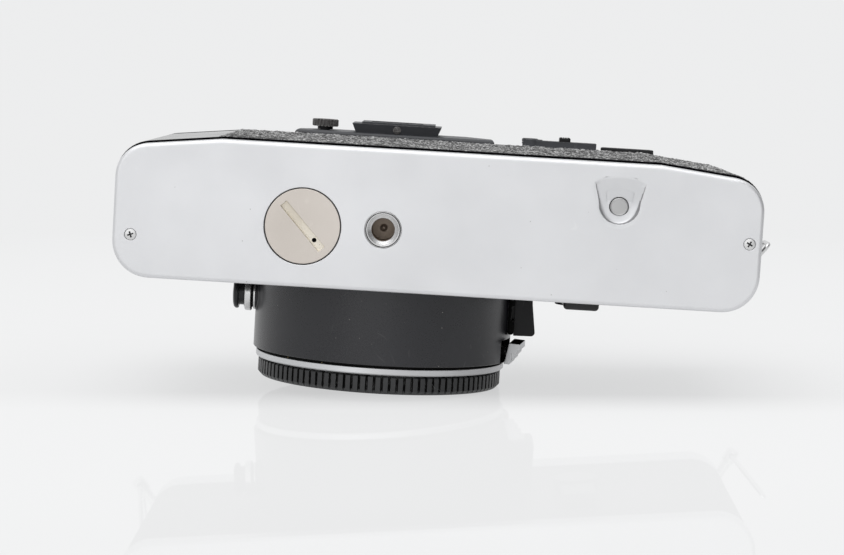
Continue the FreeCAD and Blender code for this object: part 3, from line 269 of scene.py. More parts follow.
def laid(piece: bpy.types.Object, facing: Facing, at: Point, turn: float = 0.0) -> bpy.types.Object:
    """Lay an upright piece in a direction and put it in its place.

    Args:
        piece: Mesh object modelled about its own upright axis.
        facing: Where its upright axis ends up pointing.
        at: Where its origin ends up, in millimetres.
        turn: Turn about its own axis before it is laid, in degrees.

    Returns:
        The same object, with its place in its mesh.
    """
    spin = Matrix.Rotation(math.radians(turn), 4, "Z")
    x, y, z = facing.value
    lay = (Matrix.Rotation(z, 4, "Z") @ Matrix.Rotation(y, 4, "Y") @ Matrix.Rotation(x, 4, "X"))
    piece.matrix_world = Matrix.Translation(Vector(at) * MM) @ lay @ spin
    return applied(piece)


def bevelled(piece: bpy.types.Object, width: float, steps: int = 2,
             angle: float = 40.0) -> bpy.types.Object:
    """Round a piece's sharp edges with an applied Bevel modifier.

    Args:
        piece: Mesh object.
        width: Width of the bevel in millimetres.
        steps: Number of segments.
        angle: Edges sharper than this many degrees are rounded.

    Returns:
        The same object.
    """
    activate(piece)
    bevel = piece.modifiers.new("Edge", "BEVEL")
    bevel.width = width * MM
    bevel.segments = steps
    bevel.limit_method = "ANGLE"
    bevel.angle_limit = math.radians(angle)
    bevel.use_clamp_overlap = True
    bpy.ops.object.modifier_apply(modifier=bevel.name)
    return piece


def smoothed(piece: bpy.types.Object, angle: float = 32.0) -> bpy.types.Object:
    """Shade smooth across edges flatter than an angle in degrees.

    Args:
        piece: Mesh object.
        angle: Edges sharper than this stay sharp.

    Returns:
        The same object.
    """
    activate(piece)
    bpy.ops.object.shade_smooth_by_angle(angle=math.radians(angle))
    even = piece.modifiers.new("Even shading", "WEIGHTED_NORMAL")
    even.keep_sharp = True
    bpy.ops.object.modifier_apply(modifier=even.name)
    return piece


def carved(piece: bpy.types.Object, cutter: bpy.types.Object) -> bpy.types.Object:
    """Take a cutter's shape out of a piece and discard the cutter.

    Args:
        piece: Mesh object.
        cutter: Closed mesh object, which is removed.

    Returns:
        The same object.
    """
    activate(piece)
    carve = piece.modifiers.new("Carve", "BOOLEAN")
    carve.operation = "DIFFERENCE"
    carve.solver = "EXACT"
    carve.object = cutter
    bpy.ops.object.modifier_apply(modifier=carve.name)
    bpy.data.objects.remove(cutter)
    return piece


def joined(first: bpy.types.Object, *others: bpy.types.Object) -> bpy.types.Object:
    """Join pieces of one finish into the first.

    Args:
        first: Object that takes the others in.
        *others: Objects that end up in it.

    Returns:
        The first object.
    """
    activate(first)
    for other in others:
        other.select_set(True)
    bpy.ops.object.join()
    return first


def copied(piece: bpy.types.Object, name: str) -> bpy.types.Object:
    """Copy a piece with a mesh of its own.

    Args:
        piece: Mesh object.
        name: Name of the copy.

    Returns:
        The copy.
    """
    activate(piece)
    bpy.ops.object.duplicate(linked=False)
    return named(name)


def fluted(piece: bpy.types.Object, count: int, per_pitch: int, roots: Sequence[int], outer: float,
           depth: float, low: float, high: float) -> bpy.types.Object:
    """Press straight flutes into a turned piece that still stands on its own axis.

    Args:
        piece: Mesh object with count times per_pitch sides.
        count: Number of flutes.
        per_pitch: Sides in one pitch.
        roots: Which of those sides' corners are pressed in.
        outer: Only points at least this far out, less the depth, are pressed in.
        depth: How far in they go, in millimetres.
        low: Lowest height that is fluted.
        high: Highest height that is fluted.

    Returns:
        The same object.
    """
    step = 2 * math.pi / (count * per_pitch)

    def in_root(co: Vector, _normal: Vector) -> bool:
        """True for a point of the rim that belongs to a groove."""
        place = round(math.atan2(co.y, co.x) / step) % per_pitch
        return (place in roots and low - 1e-3 <= co.z <= high + 1e-3
                and math.hypot(co.x, co.y) > outer - depth + 1e-3)

    pick(piece, Part.VERT, in_root)
    scale = (outer - depth) / outer
    bpy.ops.transform.resize(value=(scale, scale, 1), center_override=(0, 0, 0))
    close_edit()
    return piece


def arc_block(name: str, inner: float, outer: float, low: float, high: float, angle: float,
              steps: int = 14) -> bpy.types.Object:
    """Spin a small rectangle about the upright axis into part of a ring.

    Args:
        name: Piece name.
        inner: Inner radius in millimetres.
        outer: Outer radius.
        low: Lower height.
        high: Upper height.
        angle: Angle of the arc in degrees, centred on +X.
        steps: Number of spin steps.

    Returns:
        The new mesh object.
    """
    deselect()
    bpy.ops.mesh.primitive_plane_add(size=1, location=((inner + outer) / 2 * MM, 0,
                                                       (low + high) / 2 * MM),
                                     rotation=(math.pi / 2, 0, 0))
    piece = named(name)
    piece.scale = ((outer - inner) * MM, (high - low) * MM, 1)
    applied(piece)
    open_edit(Part.FACE)
    bpy.ops.mesh.spin(steps=steps, angle=math.radians(angle), center=(0, 0, 0), axis=(0, 0, 1))
    close_edit()
    tidy(piece)
    middle = sum((v.co for v in piece.data.vertices), Vector()) / len(piece.data.vertices)
    piece.rotation_euler = (0, 0, -math.atan2(middle.y, middle.x))
    return applied(piece)


def around(piece: bpy.types.Object, count: int) -> bpy.types.Object:
    """Repeat a piece evenly about the upright axis and join the copies.

    Args:
        piece: Mesh object.
        count: How many there are in all.

    Returns:
        The joined object.
    """
    copies = []
    for step in range(1, count):
        other = copied(piece, piece.name)
        bpy.ops.transform.rotate(value=2 * math.pi * step / count, orient_axis="Z",
                                 center_override=(0, 0, 0))
        copies.append(applied(other))
    return joined(piece, *copies)


def figures(name: str, text: str, size: float, facing: Facing, at: Point,
            turn: float = 0.0, depth: float = 0.03) -> bpy.types.Object:
    """Plain figures as a thin raised mesh.

    Args:
        name: Piece name.
        text: Generic numbers or letters of a scale.
        size: Height of a line in millimetres.
        facing: Direction that they face.
        at: Middle of the text in millimetres.
        turn: Turn about their own axis in degrees.
        depth: Thickness in millimetres.

    Returns:
        The new mesh object.
    """
    deselect()
    bpy.ops.object.text_add()
    label = bpy.context.object
    label.data.body = text
    label.data.size = size * MM
    label.data.align_x = "CENTER"
    label.data.align_y = "CENTER"
    label.data.extrude = depth / 2 * MM
    label.data.resolution_u = 3
    bpy.ops.object.convert(target="MESH")
    return laid(named(name), facing, at, turn)


def figure_ring(name: str, texts: Sequence[str], size: float, middle: Point, radius: float,
                step: float, first: float) -> bpy.types.Object:
    """Set figures round a dial that faces the top.

    Args:
        name: Piece name.
        texts: The figures in turn.
        size: Height of a figure in millimetres.
        middle: Middle of the ring in millimetres.
        radius: Radius of the ring.
        step: Angle from one figure to the next in degrees.
        first: Angle of the first figure.

    Returns:
        The new mesh object.
    """
    x, y, z = middle
    labels = []
    for index, text in enumerate(texts):
        turn = math.radians(step * index + first)
        place = (x + radius * math.sin(turn), y, z - radius * math.cos(turn))
        labels.append(figures(name, text, size, Facing.TO_TOP, place, -math.degrees(turn)))
    return joined(*labels)


def inlaid(piece: bpy.types.Object, finish: bpy.types.Material,
           test: Test) -> bpy.types.Object:
    """Give some faces of a piece a second finish.

    Args:
        piece: Mesh object that already has its main finish.
        finish: Material of the chosen faces.
        test: Called with a face's centre in millimetres and its normal.

    Returns:
        The same object.
    """
    piece.data.materials.append(finish)
    pick(piece, Part.FACE, test)
    piece.active_material_index = len(piece.data.materials) - 1
    bpy.ops.object.material_slot_assign()
    close_edit()
    return piece


# ---------------------------------------------------------------- shader trees
class Tree:
    """Adds and joins the nodes of one shader tree."""

    def __init__(self, tree: bpy.types.NodeTree) -> None:
        """Keep the tree that the nodes go into."""
        self.tree = tree

    def add(self, kind: str, inputs: dict[object, object] | None = None,
            **settings: object) -> bpy.types.Node:
        """Add a node.

        Args:
            kind: Blender's name of the node type.
            inputs: Socket name or number to a value or to another node's output.
            **settings: Properties of the node.

        Returns:
            The new node.
        """
        node = self.tree.nodes.new(kind)
        for key, value in settings.items():
            setattr(node, key, value)
        for key, value in (inputs or {}).items():
            self.feed(node.inputs[key], value)
        return node

    def feed(self, socket: bpy.types.NodeSocket, value: object) -> None:
        """Set a socket to a value, or link another node's output to it.

        Args:
            socket: Input of a node.
            value: Value or output.
        """
        if isinstance(value, bpy.types.NodeSocket):
            self.tree.links.new(value, socket)
        else:
            socket.default_value = value

    def place(self) -> bpy.types.NodeSocket:
        """Object coordinates."""
        return self.add("ShaderNodeTexCoord").outputs["Object"]

    def vector(self, operation: str, a: object,
               b: object = (0.0, 0.0, 0.0)) -> bpy.types.NodeSocket:
        """Output of a Vector Math node."""
        result = "Value" if operation in ("DOT_PRODUCT", "LENGTH") else "Vector"
        return self.add("ShaderNodeVectorMath", {0: a, 1: b}, operation=operation).outputs[result]

    def sum(self, operation: str, a: object, b: object = 0.0,
            clamp: bool = False) -> bpy.types.NodeSocket:
        """Output of a Math node."""
        return self.add("ShaderNodeMath", {0: a, 1: b}, operation=operation,
                        use_clamp=clamp).outputs[0]

    def mix(self, factor: object, a: object, b: object) -> bpy.types.NodeSocket:
        """Output of a colour Mix node."""
        return self.add("ShaderNodeMix", {0: factor, 6: a, 7: b}, data_type="RGBA").outputs[2]

    def fit(self, value: object, low: float, high: float, to_low: object = 0.0,
            to_high: object = 1.0) -> bpy.types.NodeSocket:
        """Output of a clamped Map Range node."""
        return self.add("ShaderNodeMapRange", {0: value, 1: low, 2: high, 3: to_low,
                                               4: to_high}).outputs[0]

    def noise(self, scale: object, detail: float = 2.0) -> bpy.types.NodeSocket:
        """Value of a Noise Texture on object coordinates."""
        return self.add("ShaderNodeTexNoise", {"Vector": self.place(), "Scale": scale,
                                               "Detail": detail}).outputs[0]


def rgba(colour: Colour) -> tuple[float, float, float, float]:
    """Colour with full alpha."""
    return (*colour, 1.0)


def grey(value: float) -> Colour:
    """Neutral colour."""
    return (value, value, value)


class Effect(Enum):
    """Shader groups that the finishes share, each built by the method of its name."""

    # The edge group marks rubbed edges, and paints an edge highlight where a finish's edge colour is
    # bright.
    WEAR = "Edge wear"
    GRAIN = "Fine grain"
    DUST = "Dust specks"
    SCRATCH = "Hair scratches"
    PEBBLE = "Leather pebbles"
    LATHE = "Turning lines"


class Effects:
    """Builds each shared shader group once and places it in a material's tree."""

    made: dict[Effect, bpy.types.NodeTree] = {}

    @classmethod
    def place(cls, tree: Tree, effect: Effect, **values: object) -> bpy.types.Node:
        """Place a group in a tree.

        Args:
            tree: Tree of the material.
            effect: Which group.
            **values: Values or outputs for its inputs, by their names in lower case.

        Returns:
            The group node.
        """
        if effect not in cls.made:
            cls.made[effect] = getattr(cls, effect.name.lower())(effect.value)
        node = tree.add("ShaderNodeGroup", node_tree=cls.made[effect])
        for key, value in values.items():
            tree.feed(node.inputs[key.title()], value)
        return node

    @staticmethod
    def start(name: str, inputs: dict[str, float | None],
              outputs: Sequence[str]) -> tuple[Tree, bpy.types.Node, bpy.types.Node]:
        """Open a new group with its sockets.

        Args:
            name: Name of the group.
            inputs: Each input with its value, or with None for a vector.
            outputs: Names of the outputs.

        Returns:
            The group's tree, its input node and its output node.
        """
        group = bpy.data.node_groups.new(name, "ShaderNodeTree")
        for key, value in inputs.items():
            kind = "NodeSocketVector" if value is None else "NodeSocketFloat"
            socket = group.interface.new_socket(name=key, in_out="INPUT", socket_type=kind)
            if value is not None:
                socket.default_value = value
        for key in outputs:
            group.interface.new_socket(name=key, in_out="OUTPUT", socket_type="NodeSocketFloat")
        tree = Tree(group)
        return tree, tree.add("NodeGroupInput"), tree.add("NodeGroupOutput")

    @classmethod
    def wear(cls, name: str) -> bpy.types.NodeTree:
        """Mask of rubbed edges, broken up by noise; where a finish's edge colour is bright, the same mask
        paints an edge highlight.

        Args:
            name: Name of the group.

        Returns:
            The group.
        """
        tree, given, out = cls.start(name, {"Radius": 0.0003, "Break": 900.0, "Share": 0.5}, ["Mask"])
        soft = tree.add("ShaderNodeBevel", {"Radius": given.outputs["Radius"]}, samples=6)
        true = tree.add("ShaderNodeNewGeometry")
        dot = tree.vector("DOT_PRODUCT", soft.outputs[0], true.outputs["Normal"])
        edge = tree.fit(tree.sum("SUBTRACT", 1.0, dot), 0.02, 0.2)
        rub = tree.fit(tree.sum("ADD", tree.noise(given.outputs["Break"], 3.0),
                                given.outputs["Share"]), 0.92, 1.12)
        tree.feed(out.inputs["Mask"], tree.sum("MULTIPLY", edge, rub))
        return tree.tree

    @classmethod
    def grain(cls, name: str) -> bpy.types.NodeTree:
        """Fine grain with a slow cloudiness.

        Args:
            name: Name of the group.

        Returns:
            The group.
        """
        tree, given, out = cls.start(name, {"Scale": 5000.0, "Cloud": 60.0}, ["Grain", "Cloudiness"])
        tree.feed(out.inputs["Grain"], tree.noise(given.outputs["Scale"], 2.0))
        tree.feed(out.inputs["Cloudiness"], tree.fit(tree.noise(given.outputs["Cloud"], 3.0), 0.3, 0.7))
        return tree.tree

    @classmethod
    def dust(cls, name: str) -> bpy.types.NodeTree:
        """Scattered round specks of several sizes.

        Args:
            name: Name of the group.

        Returns:
            The group.
        """
        tree, given, out = cls.start(name, {"Scale": 700.0, "Share": 0.2, "Size": 0.16}, ["Mask"])
        place = tree.place()
        cell = tree.add("ShaderNodeTexVoronoi", {"Vector": place, "Scale": given.outputs["Scale"]})
        parts = tree.add("ShaderNodeSeparateColor", {0: cell.outputs["Color"]})
        size = tree.sum("MULTIPLY", parts.outputs[1], given.outputs["Size"])
        speck = tree.sum("LESS_THAN", cell.outputs["Distance"], size)
        chosen = tree.sum("LESS_THAN", parts.outputs[0], given.outputs["Share"])
        tree.feed(out.inputs["Mask"], tree.sum("MULTIPLY", speck, chosen))
        return tree.tree

    @classmethod
    def scratch(cls, name: str) -> bpy.types.NodeTree:
        """Sparse hair-thin lines in changing directions.

        Args:
            name: Name of the group.

        Returns:
            The group.
        """
        tree, given, out = cls.start(name, {"Scale": 110.0, "Share": 0.3}, ["Mask"])
        place = tree.place()
        bend = tree.add("ShaderNodeTexNoise", {"Vector": place, "Scale": 45.0}).outputs["Color"]
        shift = tree.vector("MULTIPLY", bend, (0.012, 0.012, 0.012))
        pushed = tree.add("ShaderNodeVectorMath", {0: place, 1: bend, 2: shift},
                          operation="MULTIPLY_ADD")
        line = tree.add("ShaderNodeTexVoronoi", {"Vector": pushed.outputs[0],
                                                 "Scale": given.outputs["Scale"]},
                        feature="DISTANCE_TO_EDGE")
        thin = tree.fit(line.outputs["Distance"], 0.0, 0.012, 1.0, 0.0)
        kept = tree.fit(tree.sum("ADD", tree.noise(240.0, 1.0), given.outputs["Share"]), 0.85, 0.95)
        tree.feed(out.inputs["Mask"], tree.sum("MULTIPLY", thin, kept))
        return tree.tree

    @classmethod
    def pebble(cls, name: str) -> bpy.types.NodeTree:
        """Rounded pebbles of leather with the creases between them.

        Args:
            name: Name of the group.

        Returns:
            The group.
        """
        tree, given, out = cls.start(name, {"Scale": 1400.0}, ["Height", "Crease", "Tone"])
        place = tree.place()
        warp = tree.add("ShaderNodeTexNoise", {"Vector": place, "Scale": 1100.0}).outputs["Color"]
        small = tree.vector("MULTIPLY", warp, (0.0004, 0.0004, 0.0004))
        cells = {"Vector": tree.vector("ADD", place, small), "Scale": given.outputs["Scale"]}
        edge = tree.add("ShaderNodeTexVoronoi", cells, feature="DISTANCE_TO_EDGE").outputs["Distance"]
        tint = tree.add("ShaderNodeTexVoronoi", cells).outputs["Color"]
        dome = tree.sum("POWER", tree.fit(edge, 0.0, 0.34), 0.55)
        fine = tree.sum("MULTIPLY", tree.noise(9000.0), 0.25)
        tree.feed(out.inputs["Height"], tree.sum("ADD", dome, fine))
        tree.feed(out.inputs["Crease"], tree.fit(edge, 0.02, 0.12, 1.0, 0.0))
        tree.feed(out.inputs["Tone"], tree.add("ShaderNodeSeparateColor", {0: tint}).outputs[0])
        return tree.tree

    @classmethod
    def lathe(cls, name: str) -> bpy.types.NodeTree:
        """Concentric lines left by turning, about the upright axis of the given coordinates.

        Args:
            name: Name of the group.

        Returns:
            The group.
        """
        tree, given, out = cls.start(name, {"Vector": None, "Scale": 9000.0}, ["Line"])
        parts = tree.add("ShaderNodeSeparateXYZ", {0: given.outputs["Vector"]})
        flat = tree.add("ShaderNodeCombineXYZ", {0: parts.outputs[0], 1: parts.outputs[1]})
        along = tree.sum("ADD", tree.vector("LENGTH", flat.outputs[0]), parts.outputs[2])
        line = tree.add("ShaderNodeTexNoise", {"W": along, "Scale": given.outputs["Scale"],
                                               "Detail": 2.0}, noise_dimensions="1D")
        tree.feed(out.inputs["Line"], line.outputs[0])
        return tree.tree


@dataclass(frozen=True)
class Lathe:
    """Axis about which a piece's turning lines run."""

    facing: Facing
    at: Point

    def coordinates(self, tree: Tree) -> bpy.types.NodeSocket:
        """Object coordinates centred and turned so that the axis is upright.

        Args:
            tree: Tree of the material.

        Returns:
            The coordinates.
        """
        place = tree.place()
        x, y, z = self.facing.value
        moved = tree.vector("ADD", place, tuple(-v * MM for v in self.at))
        return tree.add("ShaderNodeMapping", {"Vector": moved, "Rotation": (-x, -y, -z)},
                        vector_type="POINT").outputs[0]


@dataclass(frozen=True)
class Finish:
    """Base of every finish."""

    name: str

    def start(self) -> tuple[bpy.types.Material, Tree]:
        """Open an empty material.

        Returns:
            The material and its tree.
        """
        material = bpy.data.materials.new(self.name)
        material.use_nodes = True
        material.node_tree.nodes.clear()
        return material, Tree(material.node_tree)

    def close(self, tree: Tree, shader: bpy.types.Node) -> None:
        """Join the shader to the material's output."""
        tree.add("ShaderNodeOutputMaterial", {"Surface": shader.outputs[0]})


@dataclass(frozen=True)
class Skin(Finish):
    """Metal, paint or moulded plastic with grain, rubbed edges (with a painted edge highlight where the
    edge colour is bright), dust, hair scratches and, where asked, bands of painted shade.
    """

    colour: Colour
    shade: Colour
    rough: float
    metallic: float = 0.0
    grain_scale: float = 5000.0
    grain: float = 0.1
    edge: Colour = grey(0.3)
    edge_radius: float = 0.25
    edge_share: float = 0.5
    edge_gain: float = 0.6
    dust: float = 0.12
    dust_colour: Colour = grey(0.5)
    scratches: float = 0.25
    scratch_colour: Colour = grey(0.5)
    scratch_gain: float = 0.3
    lathe: Lathe | None = None
    lathe_gain: float = 0.35
    rounding: float = 0.12
    shine: float = 0.5
    dust_size: float = 0.1
    # Bands of painted shade: below the first and above the second height along Y, in millimetres, the
    # surface is a dull near-black; a first height of nought leaves them out.
    dark_below: float = 0.0
    dark_above: float = 0.0

    def build(self) -> bpy.types.Material:
        """Make the material.

        Returns:
            The new material.
        """
        material, tree = self.start()
        fine = Effects.place(tree, Effect.GRAIN, scale=self.grain_scale, cloud=55.0)
        wear = Effects.place(tree, Effect.WEAR, radius=self.edge_radius * MM, share=self.edge_share)
        dust = Effects.place(tree, Effect.DUST, share=self.dust, size=self.dust_size)
        hair = Effects.place(tree, Effect.SCRATCH, share=self.scratches)
        grain, cloud = fine.outputs["Grain"], fine.outputs["Cloudiness"]
        base = tree.mix(cloud, rgba(self.colour), rgba(self.shade))
        # Rubbed edges; on bright metal the edge colour is also a painted highlight.
        base = tree.mix(tree.sum("MULTIPLY", wear.outputs[0], self.edge_gain), base, rgba(self.edge))
        base = tree.mix(tree.sum("MULTIPLY", hair.outputs[0], self.scratch_gain), base,
                        rgba(self.scratch_colour))
        base = tree.mix(dust.outputs[0], base, rgba(self.dust_colour))
        rough = tree.sum("MULTIPLY_ADD", grain, 0.12)
        rough.node.inputs[2].default_value = self.rough - 0.06
        rough = tree.sum("ADD", rough, tree.sum("MULTIPLY", cloud, 0.05))
        height = tree.sum("MULTIPLY", grain, self.grain)
        if self.lathe:
            line = Effects.place(tree, Effect.LATHE, vector=self.lathe.coordinates(tree))
            height = tree.sum("ADD", height, tree.sum("MULTIPLY", line.outputs[0], self.lathe_gain))
            rough = tree.sum("ADD", rough, tree.sum("MULTIPLY", line.outputs[0], 0.08))
        rough = tree.sum("ADD", rough, tree.sum("MULTIPLY", dust.outputs[0], 0.4), clamp=True)
        height = tree.sum("SUBTRACT", height, tree.sum("MULTIPLY", hair.outputs[0], 0.2))
        soft = tree.add("ShaderNodeBevel", {"Radius": self.rounding * MM}, samples=4)
        bump = tree.add("ShaderNodeBump", {"Height": height, "Strength": 1.0, "Distance": 0.00003,
                                           "Normal": soft.outputs[0]})
        metal = tree.sum("MULTIPLY", tree.sum("SUBTRACT", 1.0, dust.outputs[0]), self.metallic)
        shader = tree.add("ShaderNodeBsdfPrincipled", {
            "Base Color": base, "Metallic": metal, "Roughness": rough, "Normal": bump.outputs[0],
            "Specular IOR Level": self.shine})
        # Painted shade: a near-black diffuse below and above the given heights.
        if self.dark_below:
            up = tree.add("ShaderNodeSeparateXYZ", {0: tree.place()}).outputs["Y"]
            below = tree.fit(up, self.dark_below * MM, (self.dark_below + 0.1) * MM, 1.0, 0.0)
            above = tree.fit(up, (self.dark_above - 0.1) * MM, self.dark_above * MM)
            painted_shade = tree.add("ShaderNodeBsdfDiffuse", {"Color": rgba((0.004, 0.004, 0.005))})
            shader = tree.add("ShaderNodeMixShader", {0: tree.sum("MAXIMUM", below, above),
                                                      1: shader.outputs[0], 2: painted_shade.outputs[0]})
        self.close(tree, shader)
        return material


def turned_aluminium(name: str, at: Point) -> bpy.types.Material:
    """Aluminium whose turning lines run round an axis that points to the top.

    Args:
        name: Name of the material.
        at: A point of the axis in millimetres.

    Returns:
        The new material.
    """
    finish = Skin(name, (0.7, 0.705, 0.715), (0.62, 0.625, 0.635), rough=0.34, metallic=0.95,
                  grain_scale=4600.0, edge=grey(0.95), edge_radius=0.2, edge_share=0.6, dust=0.06,
                  dust_colour=grey(0.25), lathe=Lathe(Facing.TO_TOP, at))
    return finish.build()


@dataclass(frozen=True)
class Leather(Finish):
    """Pebbled black covering with dust, its creases darkened as painted shade; the raised kind also paints
    its low points as shade and its pebble tops light as painted sheen.
    """

    # The two pebble tones; the light defaults, which only the raised kind uses, are painted sheen on black
    # leather.
    colour: Colour = grey(0.3)
    high: Colour = grey(0.8)
    # Painted shade in the creases.
    crease: Colour = grey(0.003)
    raised: bool = False
    scale: float = 1300.0
    depth: float = 0.2
    rough: float = 0.38

    def build(self) -> bpy.types.Material:
        """Make the material.

        Returns:
            The new material.
        """
        material, tree = self.start()
        pebble = Effects.place(tree, Effect.PEBBLE, scale=self.scale)
        dust = Effects.place(tree, Effect.DUST, scale=900.0, share=0.12)
        base = tree.mix(pebble.outputs["Tone"], rgba(self.colour), rgba(self.high))
        # Painted shade: the creases go near-black.
        base = tree.mix(pebble.outputs["Crease"], base, rgba(self.crease))
        # Painted shade: low points of the mesh's relief go near-black.
        if self.raised:
            relief = tree.add("ShaderNodeAttribute", attribute_name="relief").outputs["Fac"]
            base = tree.mix(tree.fit(relief, 0.6, 0.92, 0.0, 1.0), rgba(self.crease), base)
        base = tree.mix(tree.sum("MULTIPLY", dust.outputs[0], 0.5), base, rgba((0.35, 0.35, 0.34)))
        rough = tree.fit(pebble.outputs["Crease"], 0.0, 1.0, self.rough, 0.75)
        soft = tree.add("ShaderNodeBevel", {"Radius": 0.15 * MM}, samples=4)
        bump = tree.add("ShaderNodeBump", {"Height": pebble.outputs["Height"], "Strength": 1.0,
                                           "Distance": self.depth * MM, "Normal": soft.outputs[0]})
        shader = tree.add("ShaderNodeBsdfPrincipled", {
            "Base Color": base, "Roughness": rough, "Normal": bump.outputs[0]})
        self.close(tree, shader)
        return material


@dataclass(frozen=True)
class Glass(Finish):
    """Clear or ground glass with a trace of dust."""

    colour: Colour = (0.93, 0.96, 0.95)
    rough: float = 0.03
    through: float = 1.0

    def build(self) -> bpy.types.Material:
        """Make the material.

        Returns:
            The new material.
        """
        material, tree = self.start()
        dust = Effects.place(tree, Effect.DUST, scale=900.0, share=0.1)
        fine = Effects.place(tree, Effect.GRAIN, scale=8000.0)
        base = tree.mix(dust.outputs[0], rgba(self.colour), rgba(grey(0.6)))
        rough = tree.fit(fine.outputs["Cloudiness"], 0.0, 1.0, self.rough, self.rough + 0.06)
        bump = tree.add("ShaderNodeBump", {"Height": fine.outputs["Grain"],
                                           "Strength": min(1.0, self.rough * 2), "Distance": 0.00002})
        shader = tree.add("ShaderNodeBsdfPrincipled", {
            "Base Color": base, "Roughness": rough, "Normal": bump.outputs[0],
            "Transmission Weight": self.through, "IOR": 1.52})
        self.close(tree, shader)
        return material


@dataclass(frozen=True)
class Foam(Finish):
    """Dark open foam."""

    def build(self) -> bpy.types.Material:
        """Make the material.

        Returns:
            The new material.
        """
        material, tree = self.start()
        pore = tree.add("ShaderNodeTexVoronoi", {"Vector": tree.place(), "Scale": 3200.0})
        fine = Effects.place(tree, Effect.GRAIN, scale=7000.0)
        base = tree.mix(tree.fit(pore.outputs["Distance"], 0.1, 0.6), rgba(grey(0.004)),
                        rgba((0.03, 0.03, 0.032)))
        rough = tree.fit(fine.outputs["Grain"], 0.3, 0.7, 0.85, 1.0)
        bump = tree.add("ShaderNodeBump", {"Height": pore.outputs["Distance"], "Strength": 0.8,
                                           "Distance": 0.0001})
        shader = tree.add("ShaderNodeBsdfPrincipled", {"Base Color": base, "Roughness": rough,
                                                       "Normal": bump.outputs[0]})
        self.close(tree, shader)
        return material


